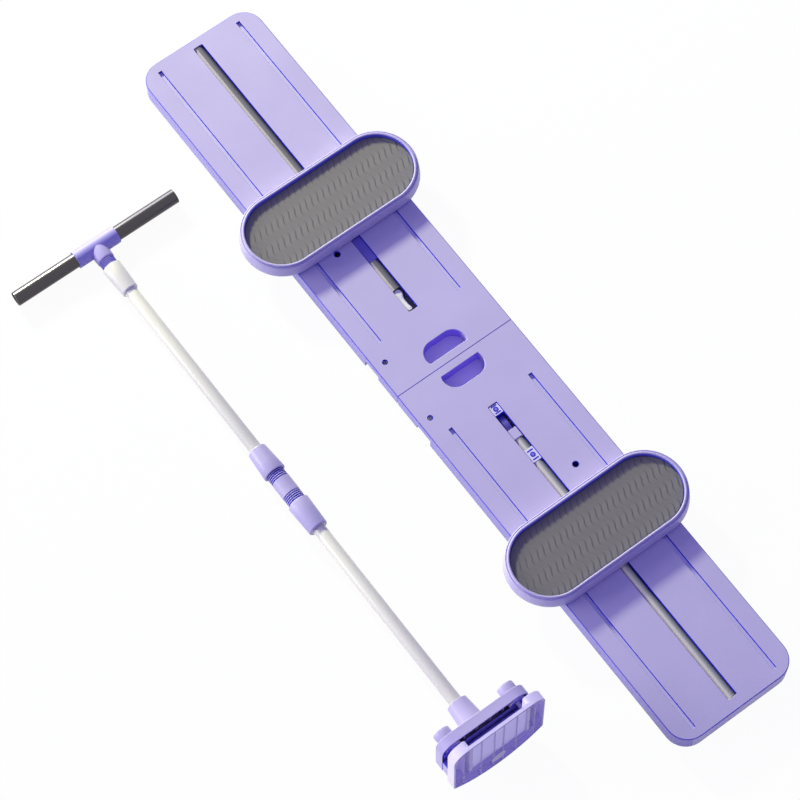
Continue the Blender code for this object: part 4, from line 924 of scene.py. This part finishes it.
def screwTree(material):
    # a countersunk screw's head on its washer, between the saddle's two slits
    tree, size = newTree("saddleScrew", screwSizes)
    maths = partial(calculate, tree)
    parts = []
    for label, share in (("Washer", 1.0), ("Head", 2.0)):
        inputs = {"Vertices": 32, "Radius": size[label], "Depth": maths("MULTIPLY", size["Rise"], share)}
        parts.append(addNode(tree, "GeometryNodeMeshCylinder", inputs).outputs["Mesh"])
    box = combine(tree, X=size["Slit Width"], Y=size["Slit Length"], Z=size["Rise"])
    slit = addNode(tree, "GeometryNodeMeshCube", {"Size": box}).outputs["Mesh"]
    start, step = (maths("MULTIPLY", size["Spacing"], share) for share in (-1.0, 2.0))
    parts.append(lineOf(tree, 2, start, step, slit))
    return finishTree(tree, join(tree, *parts), material)


for label, saddle in saddles.items():
    top = max(vert.co.z for vert in nodes["rod_saddle_" + label + "_b"].data.vertices)
    # the screw is coloured with painted shade, its top with a lighter painted shade
    material = materials["creaseShadeLilac"]
    place = Matrix.Translation((saddle["x"], board["slotY"], top))
    screw = growPiece("saddle_screw_" + label, screwTree(material), screwSizes | saddle, material, place, 40.0)
    paintFaces(screw, "slotShadeLilac", lambda c, n: n.z > 0.9 and c.z > top + 0.0003)
    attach(screw, "half_b")


rodSizes = {"radius": 0.008, "neck": 0.004, "height": 0.0248, "rounding": 0.0006}


def makeRod(half, side, start, necks, slotEnd, end):
    # turned about its axis, thinner at its necks and inside the holder at its end
    r, n, rounding = rodSizes["radius"], rodSizes["neck"], rodSizes["rounding"]
    profile = [(start, 0.0), (start, n if necks[0][0] < start else r)]
    for low, high in necks:
        if low > start:
            profile += [(low, r), (low, n)]
        profile += [(high, n), (high, r)]
    profile += [(slotEnd - rounding, r), (slotEnd, r - rounding), (slotEnd, n), (end, n), (end, 0.0)]
    name = "guide_rod_" + half
    mesh = latheMesh(name + "_finish", profile, 64, False)
    mesh.transform(Matrix.Translation((0.0, board["slotY"], rodSizes["height"])))
    if side < 0:
        mesh.transform(Matrix.Scale(-1, 4, (1, 0, 0)))
        mesh.flip_normals()
    rod = addPiece(name + "_finish", mesh, materials["rod" + half.upper()], 30.0)
    dress(rod, name, "half_" + half)


makeRod("a", -1, 0.1353, [(0.1897, 0.2343)], 0.6222, 0.6315)
makeRod("b", 1, 0.1333, [(0.1300, 0.1493), (0.1697, 0.1923)], 0.6182, 0.6315)


def poleLathe(node, body, profile, look, closed=True):
    mesh = latheMesh(node + "_finish", profile, 72, closed)
    mesh.transform(poleMatrix)
    return dress(addPiece(node + "_finish", mesh, materials[look], 32.0), node, body)


def tubeWall(start, end, outer, inner):
    return [(start, outer), (end, outer), (end, inner), (start, inner)]


tubes = {"upper_tube": ("upper_pole", 0.0183, 0.46015), "lower_tube": ("pole", 0.46975, 0.9127)}
tubeSizes = {"outer": 0.0095, "inner": 0.0083, "rounding": 0.0003}
for node, (body, start, end) in tubes.items():
    wall = tubeWall(start, end, tubeSizes["outer"], tubeSizes["inner"])
    poleLathe(node, body, rounded(wall, tubeSizes["rounding"], 2), "tube")


def nutProfile(mouth, lip, wide, narrow, bore, step):
    # outer taper with a rounded mouth and a small bead at its lip, then the bore
    way = 1 if lip > mouth else -1
    return [
        (mouth, bore),
        (mouth, wide - 0.0010),
        (mouth + way * 0.0004, wide - 0.0003),
        (mouth + way * 0.0014, wide),
        (mouth + (lip - mouth) * 0.45, wide * 0.58 + narrow * 0.42),
        (lip - way * 0.0020, narrow),
        (lip - way * 0.0010, narrow - 0.0002),
        (lip - way * 0.0003, narrow - 0.0007),
        (lip, narrow - 0.0014),
        (lip, 0.0116),
        (lip - way * 0.0004, 0.0112),
        (lip - way * 0.0004, 0.0098),
        (step, 0.0098),
        (step, bore),
    ]


# each nut's mouth, lip, radii at both, bore and the step inside it, then its material and slot
nuts = {
    "tee_nut": (0.0395, 0.0875, 0.01445, 0.01275, 0.0123, 0.0715, "ivoryPlastic", "white_plastic"),
    "collar_nut": (0.4388, 0.3950, 0.0170, 0.0142, 0.0141, 0.4110, "nutLilac", "lilac_plastic"),
    "cone_nut": (0.4931, 0.5414, 0.0163, 0.0146, 0.0141, 0.5254, "nutLilac", "lilac_plastic"),
}
# a painted highlight on the end of the tee nut, and the white liner that shows at the cone nut's lip
nutRules = {
    "tee_nut": ("clipWhiteAndHighlight", lambda c, n: alongPole(c) > 0.0868),
    "cone_nut": ("ivoryPlastic", lambda c, n: alongPole(c) > 0.5408 and offAxis(c) < 0.0113),
}
for node, (*sizes, look, slotName) in nuts.items():
    nut = poleLathe(node, node, nutProfile(*sizes), look)
    if node in nutRules:
        paintFaces(nut, *nutRules[node])


def makeTeeNeck():
    # the neck swells out of the sleeve and ends in a shoulder above its thread
    profile = [(-0.0040, 0.0), (-0.0040, 0.0120), (0.0060, 0.0130), (0.0120, 0.0135), (0.0160, 0.0136)]
    profile += [(0.0200, 0.0136), (0.0240, 0.0134), (0.0260, 0.0132), (0.0267, 0.0128), (0.0270, 0.0125)]
    mesh = latheMesh("tee_neck_finish", [*profile, (0.0270, 0.0)], 72, False)
    mesh.transform(poleMatrix)
    neck = addPiece("tee_neck_finish", mesh, materials["neckLilac"], 40.0)
    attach(neck, "upper_pole")


makeTeeNeck()

threadSizes = {"Start": 0.0289, "Pitch": 0.0028, "Root Radius": 0.0118, "Ring Radius": 0.00052, "Rings": 4}


def threadTree(material):
    # rings of a rolled thread, side by side along the pole
    tree, size = newTree("threadRings", threadSizes)
    circles = []
    for label, count in (("Root Radius", 64), ("Ring Radius", 10)):
        inputs = {"Resolution": count, "Radius": size[label]}
        circles.append(addNode(tree, "GeometryNodeCurvePrimitiveCircle", inputs).outputs["Curve"])
    inputs = {"Curve": circles[0], "Profile Curve": circles[1]}
    ring = addNode(tree, "GeometryNodeCurveToMesh", inputs).outputs["Mesh"]
    rings = lineOf(tree, size["Rings"], size["Start"], size["Pitch"], ring, (0.0, math.pi / 2, 0.0))
    return finishTree(tree, rings, material)


def makeThread(name, body, look, **sizes):
    material = materials[look]
    rings = growPiece(name, threadTree(material), threadSizes | sizes, material, poleMatrix, 60.0)
    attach(rings, body)


makeThread("tee_thread_rings", "upper_pole", "neckLilac")


def makeConnector():
    # smooth rolled threads on both sides of the plain barrel
    root, barrel, bore = 0.0127, 0.0140, 0.0098
    profile = [(0.46045, 0.0), (0.46045, bore), (0.4121, bore), (0.4121, root), (0.4519, root)]
    profile += [(0.4521, barrel - 0.0004), (0.4526, barrel), (0.4773, barrel), (0.4778, barrel - 0.0004)]
    profile += [(0.4780, root), (0.5243, root), (0.5243, bore), (0.46945, bore), (0.46945, 0.0)]
    piece = poleLathe("connector", "pole", profile, "clampLilac", False)
    # painted shade in the thread roots
    paintFaces(piece, "creaseShadeLilac", lambda c, n: offAxis(c) < root + 0.0002)
    sizes = {"Root Radius": 0.0131, "Ring Radius": 0.00072, "Pitch": 0.0031}
    makeThread("collar_thread_rings", "pole", "clampLilac", **sizes, Start=0.4403, Rings=4)
    makeThread("cone_thread_rings", "pole", "clampLilac", **sizes, Start=0.4800, Rings=5)


makeConnector()

# the knob's place on the pole and over it, its length, the radii of its stem and peg, where the peg ends
# beyond the knob and from where on the pole the peg gets a painted white glint
knob = {"x": 0.903, "up": 0.056, "length": 0.0145, "stem": 0.0040, "peg": 0.0031, "tip": 0.03775, "white": 0.9335}


def makeKnob(label, y):
    # a knob with a dished face, on its stem and peg
    x, face, name = knob["x"], knob["x"] - knob["length"], "peg_knob_" + label
    stem, peg, tip = knob["stem"], knob["peg"], x + knob["tip"]
    profile = [(face + 0.0008, 0.0), (face + 0.0006, 0.0060), (face, 0.0085), (face + 0.0002, 0.0112)]
    profile += [(face + 0.0010, 0.0122), (face + 0.0022, 0.0125), (x - 0.0011, 0.0125), (x - 0.0005, 0.0122)]
    profile += [(x - 0.0003, 0.0115), (x - 0.0003, stem), (x + 0.0147, stem), (x + 0.0147, peg)]
    profile += [(x + 0.0370, peg), (tip, peg - 0.0007), (tip, 0.0)]
    mesh = latheMesh(name + "_finish", profile, 64, False)
    mesh.transform(poleMatrix @ Matrix.Translation((0.0, y, knob["up"])))
    piece = addPiece(name + "_finish", mesh, materials["clampLilac"], 32.0)
    # a painted white glint on the peg's tip
    paintFaces(piece, "clipWhiteAndHighlight", lambda c, n: alongPole(c) > knob["white"])
    dress(piece, name, name)


makeKnob("left", -0.0527)
makeKnob("right", 0.0527)

crossbar = {"half": 0.138, "outer": 0.0110, "inner": 0.0098, "rounding": 0.0004}


def makeCrossbar():
    wall = tubeWall(-crossbar["half"], crossbar["half"], crossbar["outer"], crossbar["inner"])
    mesh = latheMesh("crossbar_tube_finish", rounded(wall, crossbar["rounding"], 3), 72)
    mesh.transform(poleMatrix @ Matrix.Rotation(math.pi / 2, 4, "Z"))
    bar = addPiece("crossbar_tube_finish", mesh, materials["crossbar"], 32.0)
    dress(bar, "crossbar_tube", "upper_pole")


makeCrossbar()
print("turned pieces made")


# bearings, heights and softness in degrees, places and sizes in metres
light = {
    "keyPlace": (-4.39, 0.05, 2.0),
    "keyAim": (0.0, 0.1, 0.03),
    "keySize": 0.55,
    "keyPower": 300.0,
    "keyColour": (0.97, 1.02, 0.64),
    "sideStrength": 2.6,
    "sideBearing": 232.0,
    "sideHeight": 10.0,
    "sideSoftness": 35.0,
    "fillColour": (0.40, 0.365, 1.0),
    "fill": 0.58,
    "floorHalf": 6.0,
    "floorHeight": -0.0002,
    "floorGlow": 0.96,
    "holeShadeShift": (-0.0117, 0.0087),
    "holeShadeRadius": 0.011,
    "streakWay": (-0.912, 0.236, 0.334),
    "streakStrength": 3.0,
    "streakSoftness": 40.0,
}
view = {"bearing": -36.67, "height": 66.73, "distance": 4.366, "lens": 141.075, "target": (0.006, 0.0468, 0.034)}


def seenDirectly(tree):
    # 1 for the rays that show a surface itself, 0 for those that light other surfaces
    path = addNode(tree, "ShaderNodeLightPath").outputs
    kinds = (path[kind] for kind in ("Is Camera Ray", "Is Glossy Ray", "Is Transmission Ray"))
    return reduce(partial(calculate, tree, "MAXIMUM"), kinds)


def mixShaders(tree, share, first, second, end):
    mix = addNode(tree, "ShaderNodeMixShader", {"Fac": share, 1: first.outputs[0], 2: second.outputs[0]})
    tree.links.new(mix.outputs[0], tree.nodes[end].inputs["Surface"])


def makeFloor():
    shape = bmesh.new()
    bmesh.ops.create_grid(shape, x_segments=1, y_segments=1, size=light["floorHalf"])
    mesh = bpy.data.meshes.new("studioFloor")
    shape.to_mesh(mesh)
    shape.free()
    mesh.transform(Matrix.Translation((0.0, 0.0, light["floorHeight"])))
    floor = addObject("studioFloor", mesh)
    material, tree, shader = newMaterial("floorPaper", (0.9, 0.9, 0.9), 0.9)
    maths = partial(calculate, tree)
    # where the paper shows through the board's holes it keeps its full shadow, so that they look dark
    spot, gaps = objectPlace(tree), []
    shiftX, shiftY = light["holeShadeShift"]
    for x, y in holes:
        inputs = {0: spot, 1: (x + shiftX, y + shiftY, 0.0)}
        gaps.append(addNode(tree, "ShaderNodeVectorMath", inputs, operation="DISTANCE").outputs["Value"])
    isClear = maths("GREATER_THAN", reduce(partial(maths, "MINIMUM"), gaps), light["holeShadeRadius"])
    share = maths("MULTIPLY", maths("MULTIPLY", seenDirectly(tree), isClear), light["floorGlow"])
    glow = addNode(tree, "ShaderNodeEmission", {"Strength": 1.0})
    mixShaders(tree, share, shader, glow, "Material Output")
    mesh.materials.append(material)


def makeWorld():
    world = bpy.data.worlds.new("studioAir")
    world.use_nodes = True
    tree = world.node_tree
    fill = tree.nodes["Background"]
    fill.inputs["Color"].default_value = (*light["fillColour"], 1.0)
    fill.inputs["Strength"].default_value = light["fill"]
    white = addNode(tree, "ShaderNodeBackground", {"Color": (1.0, 1.0, 1.0, 1.0)})
    mixShaders(tree, seenDirectly(tree), fill, white, "World Output")
    bpy.context.scene.world = world


def wayTo(bearing, height):
    bearing, height = math.radians(bearing), math.radians(height)
    flat = math.cos(height)
    return Vector((math.cos(bearing) * flat, math.sin(bearing) * flat, math.sin(height)))


def addLamp(name, kind, way, **settings):
    # a lamp that shines from this way
    data = bpy.data.lights.new(name, kind)
    for key, value in settings.items():
        setattr(data, key, value)
    lamp = addObject(name, data)
    lamp.rotation_euler = way.to_track_quat("Z", "Y").to_euler()
    return lamp


def makeLamps():
    # a soft key lamp beyond the board's -X end, close enough that its light falls off along the board
    place = Vector(light["keyPlace"])
    looks = {"shape": "DISK", "size": light["keySize"], "energy": light["keyPower"], "color": light["keyColour"]}
    addLamp("keyLight", "AREA", place - Vector(light["keyAim"]), **looks).location = place
    # a low side light for the walls that face the pole
    way = wayTo(light["sideBearing"], light["sideHeight"])
    softness = math.radians(light["sideSoftness"])
    addLamp("sideLight", "SUN", way, energy=light["sideStrength"], angle=softness)
    # a wide soft panel that only the glossy edges show
    way, softness = Vector(light["streakWay"]), math.radians(light["streakSoftness"])
    streak = addLamp("streakLight", "SUN", way, energy=light["streakStrength"], angle=softness)
    streak.visible_diffuse = False


def makeCamera():
    back = wayTo(view["bearing"], view["height"])
    data = bpy.data.cameras.new("photoCamera")
    data.lens = view["lens"]
    data.sensor_width = 36.0
    camera = addObject("photoCamera", data)
    camera.location = Vector(view["target"]) + back * view["distance"]
    camera.rotation_euler = back.to_track_quat("Z", "Y").to_euler()
    bpy.context.scene.camera = camera


makeFloor()
makeWorld()
makeLamps()
makeCamera()
bpy.context.scene.view_settings.view_transform = "Standard"
print("studio made")
